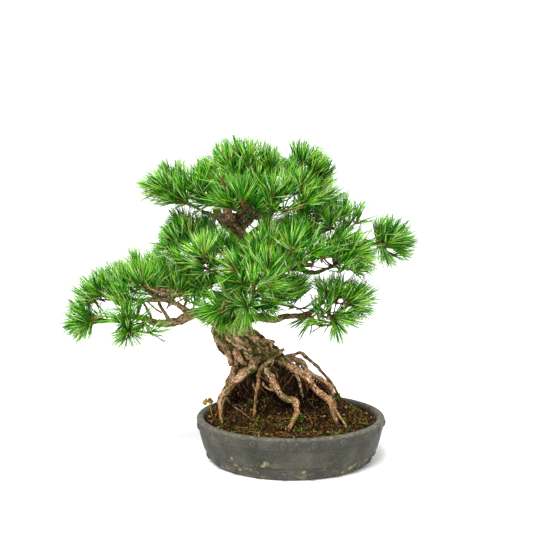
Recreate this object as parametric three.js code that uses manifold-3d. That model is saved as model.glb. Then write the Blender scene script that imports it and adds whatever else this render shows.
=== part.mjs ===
// A Japanese white pine trained as an exposed-root bonsai, standing in a shallow round drum pot.
// Millimetres, +Z up, with the origin at the centre of the pot's flat underside. The front is -Y.
// The pot, its soil, the trunk, each bared root, each bough and each mass of needles is one solid.

import * as THREE from "three";
import { mergeVertices } from "three/addons/utils/BufferGeometryUtils.js";
import Module from "manifold-3d";

const wasm = await Module();
wasm.setup();

// Driving sizes
const GAP = 0.3; // clearance between solids that touch on the living tree
const RIM_RADIUS = 150;
const POT_HEIGHT = 70;
const FLOOR = 9; // thickness of the pot's floor
const NEEDLE = 50; // length of a needle
const HUB = 7; // radius of the knot of buds that a spray of needles stands on
const TWIG = 1.5; // radius of a twig

const TURN = 2 * Math.PI;

// Materials
const matte = (color, roughness) => new THREE.MeshStandardMaterial({ color, roughness, metalness: 0 });
const clay = matte(0x615f56, 0.8);
const earth = matte(0x42311c, 1);
const bark = matte(0x8f6c4e, 0.95);
const rootBark = matte(0x94775a, 0.95);
const boughBark = matte(0x736549, 0.95);
const needles = matte(0x548930, 0.5);

// The pot: a drum with a thick rim, curved wall, flat underside, two drain holes and two rows of studs
const POT_SIDES = 40;
const POT_OUTSIDE = [
  [0, 0], [124, 0], [129, 4], [133.5, 12], [139, 23], [143, 38], [146, 50],
  [149, 62], [RIM_RADIUS, 67], [148, POT_HEIGHT],
];
const SOIL_TOP = [136.1, 66]; // where the soil meets the pot's wall
const SOIL_FOOT = [119, FLOOR];
const POT_INSIDE = [[139, POT_HEIGHT], SOIL_TOP, [131, 45], SOIL_FOOT, [0, FLOOR]];
const STUDS_IN_A_ROW = 20;
const STUD_TURN = -5.3; // degrees from the front to the nearest stud
const STUD_ROWS = [
  { radius: 148, height: 60, droop: 13, size: 5.8 },
  { radius: 132.4, height: 11, droop: 27, size: 5.4 },
];
const STUD_RELIEF = 1.4;
const STUD_TOP = 0.62; // width of a stud's flat top, as a share of its foot
const DRAIN = { radius: 8, offset: 46 };

// The soil: level at the rim, heaped under the trunk, with a level top that the trunk is cut to
const SOIL = { heap: 78, top: 128, x: -24, y: 6, left: 122, right: 150, deep: 100 };
const SOIL_RINGS = [0.4, 0.52, 0.64, 0.76, 0.88, 1]; // shares of its radius

// The trunk's centre line and radius, from under the soil's level top to its tip
const TRUNK = [
  [-22, 8, 108, 22], [-26, 6, 134, 27], [-38, 2, 152, 31], [-60, -3, 171, 32], [-80, -6, 187, 31.5],
  [-96, -8, 208, 29.5], [-101, -5, 234, 24.5], [-92, 3, 262, 19], [-77, 9, 290, 14.5], [-67, 11, 322, 11.5],
  [-76, 6, 354, 10], [-96, 0, 380, 9], [-99, 0, 404, 7.5], [-88, 0, 430, 6], [-75, 0, 450, 4.5],
];
const TRUNK_SIDES = 21;
const TRUNK_STEPS = 24;
const FLUTES = 7; // fused strands that show round the trunk's foot
const FLUTE_DEPTH = 0.16;
const FLUTE_TWIST = 3; // radians over the trunk's length

// Bared roots: from inside the trunk, over the bend, into the soil, with the radius at both ends
const ROOTS = [
  { name: "root_front_left", radii: [9.6, 3.2],
    path: [[-44, -12, 174], [-52, -27, 168], [-61, -41, 156], [-73, -48, 146], [-86, -50, 134],
      [-96, -50, 123], [-104, -48, 113], [-109, -47, 99], [-109, -48, 62]] },
  { name: "root_left", radii: [4.4, 3],
    path: [[-80, 2, 175], [-85, -8, 161], [-88, -8, 144], [-93, -5, 129], [-103, -3, 116],
      [-112, -2, 99], [-116, -2, 81], [-117, -2, 55]] },
  { name: "root_front_thin", radii: [4, 2.4],
    path: [[-12, -14, 178], [-22, -30, 175], [-36, -44, 166], [-45, -50, 158], [-50, -54, 147],
      [-51, -58, 133], [-54, -62, 120], [-56, -66, 104], [-58, -68, 76]] },
  { name: "root_front_middle", radii: [7.4, 4],
    path: [[-45, -14, 159], [-39, -42, 150], [-30, -52, 137], [-21, -60, 123], [-8, -67, 112],
      [5, -72, 109], [8, -76, 101], [7, -80, 91], [-4, -84, 68]] },
  { name: "root_front_right", radii: [7.8, 3.6],
    path: [[-34, -8, 164], [-4, -32, 158], [22, -42, 141], [42, -47, 120], [59, -50, 105], [72, -57, 66]] },
  { name: "root_right", radii: [6, 4],
    path: [[-34, 0, 160], [8, -6, 160], [32, -10, 138], [51, -14, 126], [63, -22, 110], [72, -30, 74]] },
  { name: "root_right_back", radii: [3.8, 2.8],
    path: [[-26, 8, 158], [-7, 14, 160], [4, 20, 163], [17, 24, 164], [27, 28, 156], [38, 30, 146],
      [63, 38, 119], [94, 48, 64]] },
  { name: "root_back_left", radii: [8, 4],
    path: [[-58, 10, 164], [-82, 44, 148], [-97, 62, 116], [-106, 74, 52]] },
  { name: "root_back_middle", radii: [7.5, 4],
    path: [[-38, 8, 158], [-30, 48, 146], [-24, 70, 116], [-20, 90, 62]] },
];
const TAPER = 1.2; // how late a root or bough grows thin
const ROOT_SIDES = 6;
const ROOT_STEPS = 9;

// Boughs: each leaves the trunk, or another bough, at a share of its length, and ends at its mass
const BOUGHS = [
  { name: "bough_low_left", from: 0.385, radii: [10, 3],
    path: [[-146, -15, 237], [-177, -20, 225], [-208, -20, 222], [-240, -18, 231], [-276, -14, 226]] },
  { name: "bough_low_left_fork", on: "bough_low_left", from: 0.7, radii: [3.2, 2],
    path: [[-236, -38, 217], [-244, -42, 214]] },
  { name: "bough_low_left_rise", on: "bough_low_left", from: 0.27, radii: [5.5, 2.4],
    path: [[-173, -27, 250], [-196, -30, 260], [-235, -18, 258], [-262, -6, 262]] },
  { name: "bough_left_upper", from: 0.47, radii: [6.5, 2.6],
    path: [[-134, -15, 267], [-173, -30, 273], [-200, -35, 276], [-218, -32, 284]] },
  { name: "bough_left_inner", from: 0.52, radii: [5, 2.5], path: [[-112, 14, 286], [-140, 10, 280]] },
  { name: "bough_left_back", from: 0.49, radii: [5.5, 2.4], path: [[-130, 32, 262], [-182, 48, 254]] },
  { name: "bough_mid_left", from: 0.66, radii: [4.6, 2.4], path: [[-100, 6, 344], [-128, 2, 346]] },
  { name: "bough_top_left", from: 0.79, radii: [4.6, 2.4], path: [[-126, -4, 390], [-148, -5, 402]] },
  { name: "bough_low_right", from: 0.37, radii: [8, 2.6],
    path: [[-50, -8, 229], [-27, -12, 225], [-8, -12, 232], [24, -9, 234], [42, -4, 245], [54, 2, 257]] },
  { name: "bough_low_right_fork", on: "bough_low_right", from: 0.68, radii: [3.4, 2],
    path: [[44, -20, 219], [56, -22, 219]] },
  { name: "bough_mid_right", from: 0.6, radii: [7, 2.6],
    path: [[-33, 0, 305], [8, -5, 306], [36, -6, 300], [58, -9, 307]] },
  { name: "bough_mid_right_rise", on: "bough_mid_right", from: 0.55, radii: [4.4, 1.8],
    path: [[26, -6, 320], [50, -4, 326], [92, 6, 330], [130, 6, 343]] },
  { name: "bough_right_shoulder", from: 0.69, radii: [5.5, 2.4],
    path: [[-32, 16, 353], [20, 22, 354], [64, 18, 366]] },
  { name: "bough_top_right", from: 0.74, radii: [5, 2.4], path: [[-52, 6, 392], [-20, 8, 418], [2, 9, 436]] },
  { name: "bough_shoulder", from: 0.71, radii: [4.6, 2.4], path: [[-42, -8, 374], [6, -6, 382]] },
  { name: "bough_front_right", from: 0.63, radii: [4.6, 2.4], path: [[-42, -26, 333], [-18, -50, 340]] },
  { name: "bough_back_left", from: 0.58, radii: [6, 2.6], path: [[-98, 46, 320], [-126, 64, 328]] },
  { name: "bough_back_right", from: 0.64, radii: [6, 2.6], path: [[-34, 46, 328], [4, 66, 332]] },
  { name: "bough_back_low", from: 0.51, radii: [6, 2.6], path: [[-74, 50, 270], [-62, 74, 272]] },
];
const BOUGH_SIDES = 5;
const BOUGH_STEPS = 6;

// Masses of needles: the middle of its space, its reach along X, Y and Z, its count of sprays, and the
// way its shoots lean. A mass stands on a bough's tip, on the trunk's tip, or on the trunk's side at a
// share of its length.
const UP = [0, 0, 1];
const MASSES = [
  { name: "mass_top_crown", on: "trunk_tip",
    at: [-65, 2, 469], reach: [72, 61, 50], sprays: 5, lean: UP },
  { name: "mass_top_right", on: "bough_top_right",
    at: [17, 10, 459], reach: [58, 59, 52], sprays: 4, lean: UP },
  { name: "mass_top_left", on: "bough_top_left",
    at: [-175, -2, 435], reach: [68, 61, 50], sprays: 5, lean: [-0.4, 0, 1] },
  { name: "mass_top_left_inner", on: 0.885,
    at: [-129, 4, 428], reach: [58, 57, 52], sprays: 4, lean: [-0.2, 0, 1] },
  { name: "mass_top_front", on: 0.85,
    at: [-74, -52, 420], reach: [62, 59, 50], sprays: 4, lean: [0, -0.5, 1] },
  { name: "mass_top_front_right", on: 0.9,
    at: [-14, -48, 424], reach: [60, 57, 52], sprays: 4, lean: [0.2, -0.5, 1] },
  { name: "mass_top_back", on: 0.82,
    at: [-54, 72, 398], reach: [72, 61, 56], sprays: 4, lean: [0, 0.6, 1] },
  { name: "mass_shoulder", on: "bough_shoulder",
    at: [42, -14, 396], reach: [60, 59, 54], sprays: 4, lean: [0.4, -0.3, 1] },
  { name: "mass_right_upper", on: "bough_right_shoulder",
    at: [92, 15, 372], reach: [55, 57, 54], sprays: 4, lean: [0.5, 0, 1] },
  { name: "mass_right_middle", on: "bough_mid_right",
    at: [84, -20, 328], reach: [66, 59, 50], sprays: 4, lean: [0.6, -0.3, 0.7] },
  { name: "mass_right_far", on: "bough_mid_right_rise",
    at: [153, 5, 353], reach: [60, 55, 52], sprays: 3, lean: [0.8, 0, 0.6] },
  { name: "mass_left_upper", on: "bough_mid_left",
    at: [-164, -4, 356], reach: [68, 59, 52], sprays: 5, lean: [-0.6, 0, 0.9] },
  { name: "mass_left_front", on: 0.67,
    at: [-122, -62, 336], reach: [60, 57, 50], sprays: 4, lean: [-0.3, -0.6, 0.9] },
  { name: "mass_front_low", on: 0.61,
    at: [-54, -88, 314], reach: [72, 59, 56], sprays: 6, lean: [0, -0.5, 0.9] },
  { name: "mass_front_right", on: "bough_front_right",
    at: [-2, -76, 352], reach: [64, 57, 54], sprays: 4, lean: [0.2, -0.5, 0.9] },
  { name: "mass_low_middle_right", on: 0.53,
    at: [0, -22, 268], reach: [62, 57, 46], sprays: 4, lean: [0.6, -0.3, 0.8] },
  { name: "mass_low_front", on: 0.48,
    at: [-86, -66, 258], reach: [76, 57, 50], sprays: 5, lean: [0, -1, 0.2] },
  { name: "mass_left_inner", on: "bough_left_inner",
    at: [-165, 5, 286], reach: [60, 59, 50], sprays: 4, lean: [-0.2, 0, 1] },
  { name: "mass_left_high", on: "bough_left_upper",
    at: [-230, -15, 296], reach: [62, 57, 52], sprays: 4, lean: [-0.4, -0.2, 1] },
  { name: "mass_left_outer", on: "bough_low_left_rise",
    at: [-286, 8, 273], reach: [62, 57, 52], sprays: 4, lean: [-0.6, 0.1, 0.9] },
  { name: "mass_left_end", on: "bough_low_left",
    at: [-318, -10, 230], reach: [54, 55, 52], sprays: 3, lean: [-1, 0, 0.3] },
  { name: "mass_left_low", on: "bough_low_left_fork",
    at: [-252, -48, 229], reach: [60, 57, 50], sprays: 4, lean: [-0.5, -0.8, -0.1] },
  { name: "mass_right_low", on: "bough_low_right",
    at: [75, 6, 263], reach: [60, 57, 48], sprays: 4, lean: [0.3, 0, 0.9] },
  { name: "mass_right_lowest", on: "bough_low_right_fork",
    at: [80, -24, 238], reach: [64, 57, 52], sprays: 4, lean: [0.7, -0.5, 0.2] },
  { name: "mass_back_left", on: "bough_back_left",
    at: [-150, 84, 345], reach: [70, 61, 56], sprays: 4, lean: [-0.3, 0.7, 0.8] },
  { name: "mass_back_right", on: "bough_back_right",
    at: [32, 88, 350], reach: [70, 61, 56], sprays: 4, lean: [0.3, 0.7, 0.8] },
  { name: "mass_back_low", on: "bough_back_low",
    at: [-58, 102, 290], reach: [68, 59, 54], sprays: 4, lean: [0, 1, 0.5] },
  { name: "mass_left_back", on: "bough_left_back",
    at: [-211, 60, 262], reach: [64, 57, 50], sprays: 4, lean: [-0.4, 0.6, 0.8] },
];
const SEED = 4711;
const GOLDEN_ANGLE = Math.PI * (3 - Math.sqrt(5));
const SPRAY_DROP = -8; // from the middle of a mass's space to the middle of its sprays, along the lean
const SPRAY_MARGIN = 32; // from the outside of that space to the outer sprays
const SPRAY_STEP = 14; // how far apart in height sprays stand
const SPRAY_SPLAY = 0.7; // how far an outer spray turns from the lean
const SPRAY_APART = 26; // least distance between two sprays
const SPRAY_TRIES = 30;
const NEEDLE_BENDS = [0.3, 0.05, 0.65]; // turns towards the spray's axis that a needle tries, to keep clear
const NEEDLE_FOOT = 0.5 * HUB; // half the width of a needle at its foot
const NEEDLE_LEAST = 0.5; // share of its length under which a needle is skipped
const NEEDLE_BACKWARD = -0.5; // needles face no further back from the axis than this cosine
const STEM_RADIUS = 3; // where it leaves the trunk's side
const STEM_TIP = 1.3; // radius of a stem's end, in twigs
const TWIG_LEAVES = [0.72, 0.97]; // shares of the stem between which twigs leave it
const STEM_SIDES = 4;
const STEM_STEPS = 3;
const FORK_AHEAD = 10; // least run of a stem along its bough's own line
const FORK_DROP = 16; // from the middle of the sprays down to where the stem forks
const NEEDLE_SAMPLES = 14; // places along a needle where its clearance is measured
const TWIG_SIDES = 3;
const TWIG_STEPS = 1;

const vec = (p) => new THREE.Vector3(p[0], p[1], p[2]);

// A repeatable stream of numbers from 0 to 1
function randomFrom(seed) {
  let state = seed >>> 0;
  return () => {
    state = (state + 0x6d2b79f5) >>> 0;
    let mixed = Math.imul(state ^ (state >>> 15), 1 | state);
    mixed = (mixed + Math.imul(mixed ^ (mixed >>> 7), 61 | mixed)) ^ mixed;
    return ((mixed ^ (mixed >>> 14)) >>> 0) / 4294967296;
  };
}

// A closed geometry as a solid that can be joined and cut
function solidOf(geometry) {
  const bare = geometry.index ? geometry.toNonIndexed() : geometry.clone();
  bare.deleteAttribute("normal");
  bare.deleteAttribute("uv");
  const merged = mergeVertices(bare, 1e-3);
  const vertProperties = merged.attributes.position.array;
  const triVerts = new Uint32Array(merged.index.array);
  return new wasm.Manifold(new wasm.Mesh({ numProp: 3, vertProperties, triVerts }));
}

// A solid as a named mesh, keeping only its largest piece
function meshOf(name, solid, material) {
  const pieces = solid.decompose().sort((a, b) => b.volume() - a.volume());
  const { vertProperties, triVerts } = pieces[0].getMesh();
  const geometry = new THREE.BufferGeometry();
  geometry.setAttribute("position", new THREE.BufferAttribute(new Float32Array(vertProperties), 3));
  geometry.setIndex(new THREE.BufferAttribute(new Uint32Array(triVerts), 1));
  const mesh = new THREE.Mesh(geometry, material);
  mesh.name = name;
  return mesh;
}

function geometryOf(points, faces) {
  const geometry = new THREE.BufferGeometry();
  geometry.setAttribute("position", new THREE.Float32BufferAttribute(points.flatMap((p) => p.toArray()), 3));
  geometry.setIndex(faces.flat());
  return geometry;
}

// A limb: a centre line through knots, with a radius that runs from knot to knot
function limbAlong(knots, radii) {
  return { curve: new THREE.CatmullRomCurve3(knots, false, "centripetal"), radii };
}

function radiusAt(limb, share) {
  const place = share * (limb.radii.length - 1);
  const knot = Math.min(Math.floor(place), limb.radii.length - 2);
  return THREE.MathUtils.lerp(limb.radii[knot], limb.radii[knot + 1], place - knot);
}

// The taper of a limb with this many knots, from one radius to the other
function taper([thick, thin], count) {
  return Array.from({ length: count }, (_, i) =>
    THREE.MathUtils.lerp(thick, thin, Math.pow(i / (count - 1), TAPER)));
}

// The solid of a limb, with flat ends; grown widens it, and flute(share, angle) shapes its section
function limbSolid(limb, sides, steps, grown = 0, flute = () => 1) {
  const points = [];
  const faces = [];
  const side = new THREE.Vector3(0, 1, 0);
  for (let i = 0; i <= steps; i++) {
    const share = i / steps;
    const tangent = limb.curve.getTangent(share);
    side.addScaledVector(tangent, -side.dot(tangent)).normalize();
    const across = new THREE.Vector3().crossVectors(tangent, side);
    const centre = limb.curve.getPoint(share);
    for (let j = 0; j < sides; j++) {
      const angle = (TURN * j) / sides;
      const radius = radiusAt(limb, share) * flute(share, angle) + grown;
      points.push(centre.clone().addScaledVector(side, radius * Math.cos(angle))
        .addScaledVector(across, radius * Math.sin(angle)));
    }
  }
  const first = points.push(limb.curve.getPoint(0)) - 1;
  const last = points.push(limb.curve.getPoint(1)) - 1;
  const top = steps * sides;
  for (let j = 0; j < sides; j++) {
    const next = (j + 1) % sides;
    faces.push([first, next, j], [last, top + j, top + next]);
    for (let i = 0; i < steps; i++) {
      const low = i * sides;
      const high = low + sides;
      faces.push([low + j, low + next, high + next], [low + j, high + next, high + j]);
    }
  }
  return solidOf(geometryOf(points, faces));
}

// Pot
function lathe(profile, sides) {
  const geometry = new THREE.LatheGeometry(profile.map(([r, z]) => new THREE.Vector2(r, z)), sides);
  return geometry.rotateX(Math.PI / 2).rotateZ(THREE.MathUtils.degToRad(STUD_TURN) + Math.PI / sides);
}

function potSolid() {
  let pot = solidOf(lathe([...POT_OUTSIDE, ...POT_INSIDE], POT_SIDES));
  for (const row of STUD_ROWS) {
    for (let i = 0; i < STUDS_IN_A_ROW; i++) {
      const turn = THREE.MathUtils.degToRad(STUD_TURN + (360 * i) / STUDS_IN_A_ROW);
      const stud = new THREE.CylinderGeometry(row.size * STUD_TOP, row.size, STUD_RELIEF * 2, 5);
      stud.rotateX(Math.PI + THREE.MathUtils.degToRad(row.droop));
      stud.translate(0, -row.radius, row.height).rotateZ(turn);
      pot = pot.add(solidOf(stud));
    }
  }
  for (const side of [-1, 1]) {
    const drain = new THREE.CylinderGeometry(DRAIN.radius, DRAIN.radius, 4 * FLOOR, 12);
    drain.rotateX(Math.PI / 2).translate(side * DRAIN.offset, 0, 0);
    pot = pot.subtract(solidOf(drain));
  }
  return pot;
}

// Soil
function soilHeight(x, y) {
  const across = (x - SOIL.x) / (x < SOIL.x ? SOIL.left : SOIL.right);
  const along = (y - SOIL.y) / SOIL.deep;
  const rise = Math.max(0, 1 - across * across - along * along);
  return Math.min(SOIL.top, SOIL_TOP[1] + SOIL.heap * Math.pow(rise, 1.5));
}

// The soil's solid, a clearance inside the pot; raised lifts its surface, for cutting what stands on it
function soilSolid(raised = 0) {
  const start = THREE.MathUtils.degToRad(STUD_TURN) + Math.PI / POT_SIDES;
  const ringOf = (radius, height) => Array.from({ length: POT_SIDES }, (_, j) => {
    const angle = start + (TURN * j) / POT_SIDES;
    const [x, y] = [radius * Math.cos(angle), radius * Math.sin(angle)];
    return new THREE.Vector3(x, y, height ?? soilHeight(x, y) + raised);
  });
  const rings = SOIL_RINGS.map((share) => ringOf((SOIL_TOP[0] - 1.5 * GAP) * share));
  rings.push(ringOf(SOIL_FOOT[0] - 2 * GAP, SOIL_FOOT[1] + GAP));
  const points = [new THREE.Vector3(0, 0, soilHeight(0, 0) + raised), ...rings.flat()];
  const bottom = points.push(new THREE.Vector3(0, 0, SOIL_FOOT[1] + GAP)) - 1;
  const faces = [];
  for (let j = 0; j < POT_SIDES; j++) {
    const next = (j + 1) % POT_SIDES;
    faces.push([0, 1 + j, 1 + next]);
    for (let i = 1; i < rings.length; i++) {
      const inner = 1 + (i - 1) * POT_SIDES;
      const outer = inner + POT_SIDES;
      faces.push([inner + j, outer + j, outer + next], [inner + j, outer + next, inner + next]);
    }
    const foot = 1 + (rings.length - 1) * POT_SIDES;
    faces.push([bottom, foot + next, foot + j]);
  }
  return solidOf(geometryOf(points, faces));
}

// Trunk, roots and boughs as limbs
const trunk = limbAlong(TRUNK.map(vec), TRUNK.map((knot) => knot[3]));
const trunkFlute = (share, angle) =>
  1 + FLUTE_DEPTH * Math.max(0, 1 - 2 * share) * Math.cos(FLUTES * (angle + FLUTE_TWIST * share));
const limbs = new Map([["trunk", trunk]]);
for (const root of ROOTS) {
  const knots = root.path.map(vec);
  limbs.set(root.name, limbAlong(knots, taper(root.radii, knots.length)));
}
for (const bough of BOUGHS) {
  const knots = [limbs.get(bough.on ?? "trunk").curve.getPoint(bough.from), ...bough.path.map(vec)];
  limbs.set(bough.name, limbAlong(knots, taper(bough.radii, knots.length)));
}

// Where a mass's stem starts, which way it sets out, and how thick it is
function stemStart(mass) {
  if (typeof mass.on === "number") {
    const start = trunk.curve.getPoint(mass.on);
    return { start, out: vec(mass.at).sub(start).normalize(), radius: STEM_RADIUS };
  }
  const limb = mass.on === "trunk_tip" ? trunk : limbs.get(mass.on);
  const out = limb.curve.getTangent(1);
  return { start: limb.curve.getPoint(1).addScaledVector(out, GAP), out, radius: radiusAt(limb, 1) };
}

// The planes that part a mass's space from its neighbours', as a normal and an offset along it
function wallsOf(mass) {
  const centre = vec(mass.at);
  const reachAlong = (other, normal) =>
    Math.hypot(other.reach[0] * normal.x, other.reach[1] * normal.y, other.reach[2] * normal.z);
  return MASSES.filter((other) => other !== mass).map((other) => {
    const normal = vec(other.at).sub(centre);
    const distance = normal.length();
    normal.normalize();
    const mine = reachAlong(mass, normal);
    const share = mine / (mine + reachAlong(other, normal));
    return { normal, offset: normal.dot(centre) + distance * share - GAP };
  });
}

// The stem of a mass, which forks a little below the middle of its sprays
function stemOf(mass) {
  const { start, out, radius } = stemStart(mass);
  const fork = vec(mass.at).addScaledVector(vec(mass.lean).normalize(), SPRAY_DROP - FORK_DROP);
  const ahead = fork.clone().sub(start).dot(out);
  fork.addScaledVector(out, Math.max(0, FORK_AHEAD - ahead));
  const knots = [start, start.clone().addScaledVector(out, 0.4 * FORK_AHEAD), fork];
  return limbAlong(knots, taper([radius, TWIG * STEM_TIP], knots.length));
}

// A place for a spray of a mass: where its knot of buds is, its axis, and the twig that carries it.
// The first try stands in the middle, higher than the rest, which go round it by the golden angle.
function sprayTry(mass, stem, tried, turn, random) {
  const lean = vec(mass.lean).normalize();
  const room = vec(mass.reach).addScalar(-SPRAY_MARGIN);
  const spread = tried === 0 ? 0 : 0.8 + 0.35 * random();
  const angle = turn + GOLDEN_ANGLE * tried;
  const out = new THREE.Vector3(Math.cos(angle), Math.sin(angle), 0);
  out.addScaledVector(lean, -out.dot(lean)).normalize();
  const rise = SPRAY_DROP + SPRAY_STEP * (random() - 0.5 + (tried === 0 ? 1 : 0));
  const base = vec(mass.at).add(out.clone().multiply(room).multiplyScalar(spread))
    .addScaledVector(lean, rise);
  const axis = lean.clone().addScaledVector(out, SPRAY_SPLAY * spread).normalize();
  const leave = stem.curve.getPoint(THREE.MathUtils.lerp(...TWIG_LEAVES, random()));
  return { base, axis, twig: limbAlong([leave, base], [TWIG, TWIG]) };
}

// The sprays of a mass that keep to its space, off the limbs and apart from each other
function spraysOf(mass, index, stem, obstacles) {
  const random = randomFrom(SEED + index);
  const turn = TURN * random();
  const walls = wallsOf(mass);
  const sprays = [];
  for (let tried = 0; sprays.length < mass.sprays && tried < SPRAY_TRIES; tried++) {
    const spray = sprayTry(mass, stem, tried, turn, random);
    const hub = [{ point: spray.base, radius: HUB }];
    const twig = samples(spray.twig, 8).slice(3);
    const crowded = sprays.some((other) => other.base.distanceTo(spray.base) < SPRAY_APART);
    const walled = walls.some((wall) => wall.normal.dot(spray.base) > wall.offset - HUB);
    const near = (mine, here) => mine.point.distanceTo(here.point) < mine.radius + here.radius + 3 * GAP;
    const touching = obstacles.some((obstacle) =>
      obstacle.some((here) => [...hub, ...twig].some((mine) => near(mine, here))));
    if (!crowded && !walled && !touching) sprays.push(spray);
  }
  return sprays;
}

// Points along a limb's centre line with the radius there, for measuring clearances
function samples(limb, count) {
  return Array.from({ length: count + 1 }, (_, i) => {
    const share = i / count;
    return { point: limb.curve.getPoint(share), radius: radiusAt(limb, share) };
  });
}

// The same for a needle that runs straight from one point to another
function needleSamples(from, to) {
  return Array.from({ length: NEEDLE_SAMPLES + 1 }, (_, i) => {
    const share = i / NEEDLE_SAMPLES;
    return { point: from.clone().lerp(to, share), radius: NEEDLE_FOOT * (1 - share) };
  });
}

// How far along a needle, as a share, it can run inside its mass's space and clear of every limb
function clearShare(from, to, mass, walls, obstacles) {
  const centre = vec(mass.at);
  const reach = vec(mass.reach);
  const here = new THREE.Vector3();
  for (let i = 1; i <= NEEDLE_SAMPLES; i++) {
    const share = i / NEEDLE_SAMPLES;
    const thick = NEEDLE_FOOT * (1 - share);
    here.lerpVectors(from, to, share);
    const inside = here.clone().sub(centre).divide(reach).length() <= 1;
    const walled = walls.some((wall) => wall.normal.dot(here) > wall.offset - thick);
    const touching = obstacles.some((obstacle) =>
      obstacle.some(({ point, radius }) => here.distanceTo(point) < radius + thick + 2 * GAP));
    if (!inside || walled || touching) return (i - 1) / NEEDLE_SAMPLES;
  }
  return 1;
}

// A spray: a knot of buds whose faces are drawn out into needles, but for those at its foot
const hubShape = mergeVertices(
  new THREE.IcosahedronGeometry(HUB, 0).deleteAttribute("normal").deleteAttribute("uv"));

function spraySolid(spray, random, mass, walls, obstacles, grown) {
  const turn = new THREE.Quaternion().setFromUnitVectors(new THREE.Vector3(0, 0, 1), spray.axis)
    .multiply(new THREE.Quaternion().setFromAxisAngle(new THREE.Vector3(0, 0, 1), TURN * random()));
  const position = hubShape.attributes.position;
  const points = Array.from({ length: position.count }, (_, i) =>
    new THREE.Vector3().fromBufferAttribute(position, i).applyQuaternion(turn).add(spray.base));
  const faces = [];
  for (let i = 0; i < hubShape.index.count; i += 3) {
    const face = [0, 1, 2].map((k) => hubShape.index.getX(i + k));
    const middle = new THREE.Vector3();
    face.forEach((k) => middle.addScaledVector(points[k], 1 / 3));
    const facing = middle.clone().sub(spray.base).normalize();
    const forward = facing.dot(spray.axis);
    const length = NEEDLE * (0.86 + 0.14 * forward) * (0.94 + 0.12 * random());
    const tips = NEEDLE_BENDS.map((bend) =>
      middle.clone().addScaledVector(facing.clone().addScaledVector(spray.axis, bend).normalize(), length));
    const shares = tips.map((tip) =>
      forward < NEEDLE_BACKWARD ? 0 : clearShare(middle, tip, mass, walls, obstacles));
    const share = Math.max(...shares);
    if (share < NEEDLE_LEAST) {
      faces.push(face);
      continue;
    }
    const end = points.push(middle.clone().lerp(tips[shares.indexOf(share)], share)) - 1;
    face.forEach((k, side) => faces.push([k, face[(side + 1) % 3], end]));
    grown.push(needleSamples(middle, points[end]));
  }
  return solidOf(geometryOf(points, faces));
}

// The assembly
const pine = new THREE.Group();
pine.add(meshOf("pot", potSolid(), clay));
pine.add(meshOf("soil", soilSolid(), earth));

const soilCutter = soilSolid(GAP);
const trunkCutter = limbSolid(trunk, TRUNK_SIDES, TRUNK_STEPS, GAP, trunkFlute);
const trunkWhole = limbSolid(trunk, TRUNK_SIDES, TRUNK_STEPS, 0, trunkFlute);
pine.add(meshOf("trunk", trunkWhole.subtract(soilCutter), bark));

for (const root of ROOTS) {
  const solid = limbSolid(limbs.get(root.name), ROOT_SIDES, ROOT_STEPS);
  pine.add(meshOf(root.name, solid.subtract(trunkCutter).subtract(soilCutter), rootBark));
}
for (const bough of BOUGHS) {
  const parent = bough.on ? limbSolid(limbs.get(bough.on), BOUGH_SIDES, BOUGH_STEPS, GAP) : trunkCutter;
  const solid = limbSolid(limbs.get(bough.name), BOUGH_SIDES, BOUGH_STEPS);
  pine.add(meshOf(bough.name, solid.subtract(parent), boughBark));
}

const limbObstacles = [...limbs.values()].map((limb) => samples(limb, 40));
const stems = MASSES.map(stemOf);
const branchObstacles = stems.map((stem) => [samples(stem, 12)]);
const allSprays = MASSES.map((mass, index) => {
  const others = branchObstacles.filter((_, i) => i !== index).flat();
  const sprays = spraysOf(mass, index, stems[index], [...limbObstacles, ...others]);
  branchObstacles[index].push(...sprays.map((spray) => samples(spray.twig, 12)));
  return sprays;
});
MASSES.forEach((mass, index) => {
  const sprays = allSprays[index];
  const random = randomFrom(SEED * 2 + index);
  const walls = wallsOf(mass);
  const others = branchObstacles.filter((_, i) => i !== index).flat();
  const hubs = sprays.map((spray) => [{ point: spray.base, radius: HUB }]);
  const grown = [];
  let solid = limbSolid(stems[index], STEM_SIDES, STEM_STEPS);
  sprays.forEach((spray) => (solid = solid.add(limbSolid(spray.twig, TWIG_SIDES, TWIG_STEPS))));
  sprays.forEach((spray, i) => {
    const [stem, ...twigs] = branchObstacles[index];
    const near = [...twigs, ...hubs].filter((_, k) => k % sprays.length !== i);
    const obstacles = [...limbObstacles, ...others, stem, ...near, ...grown];
    const mine = [];
    solid = solid.add(spraySolid(spray, random, mass, walls, obstacles, mine));
    grown.push(...mine);
  });
  if (typeof mass.on === "number") solid = solid.subtract(trunkCutter);
  pine.add(meshOf(mass.name, solid, needles));
});

export default pine;
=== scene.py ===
import math

import bpy
import numpy as np
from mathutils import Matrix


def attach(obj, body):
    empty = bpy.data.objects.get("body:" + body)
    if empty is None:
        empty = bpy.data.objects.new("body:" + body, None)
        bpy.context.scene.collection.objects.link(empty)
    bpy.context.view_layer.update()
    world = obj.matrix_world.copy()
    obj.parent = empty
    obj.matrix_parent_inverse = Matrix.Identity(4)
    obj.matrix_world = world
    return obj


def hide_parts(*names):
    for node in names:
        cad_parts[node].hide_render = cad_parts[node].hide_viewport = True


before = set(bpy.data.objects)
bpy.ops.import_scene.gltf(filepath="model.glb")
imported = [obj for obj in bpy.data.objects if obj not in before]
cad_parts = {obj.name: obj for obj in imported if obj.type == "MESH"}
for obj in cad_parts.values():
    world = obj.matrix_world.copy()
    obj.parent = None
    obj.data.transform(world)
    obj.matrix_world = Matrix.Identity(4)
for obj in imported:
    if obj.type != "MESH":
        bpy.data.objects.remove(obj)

# The looks of a Japanese white pine trained as an exposed-root bonsai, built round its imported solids.
# Sizes are in millimetres, as in the part's own source, and become metres where a mesh is made.

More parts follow.
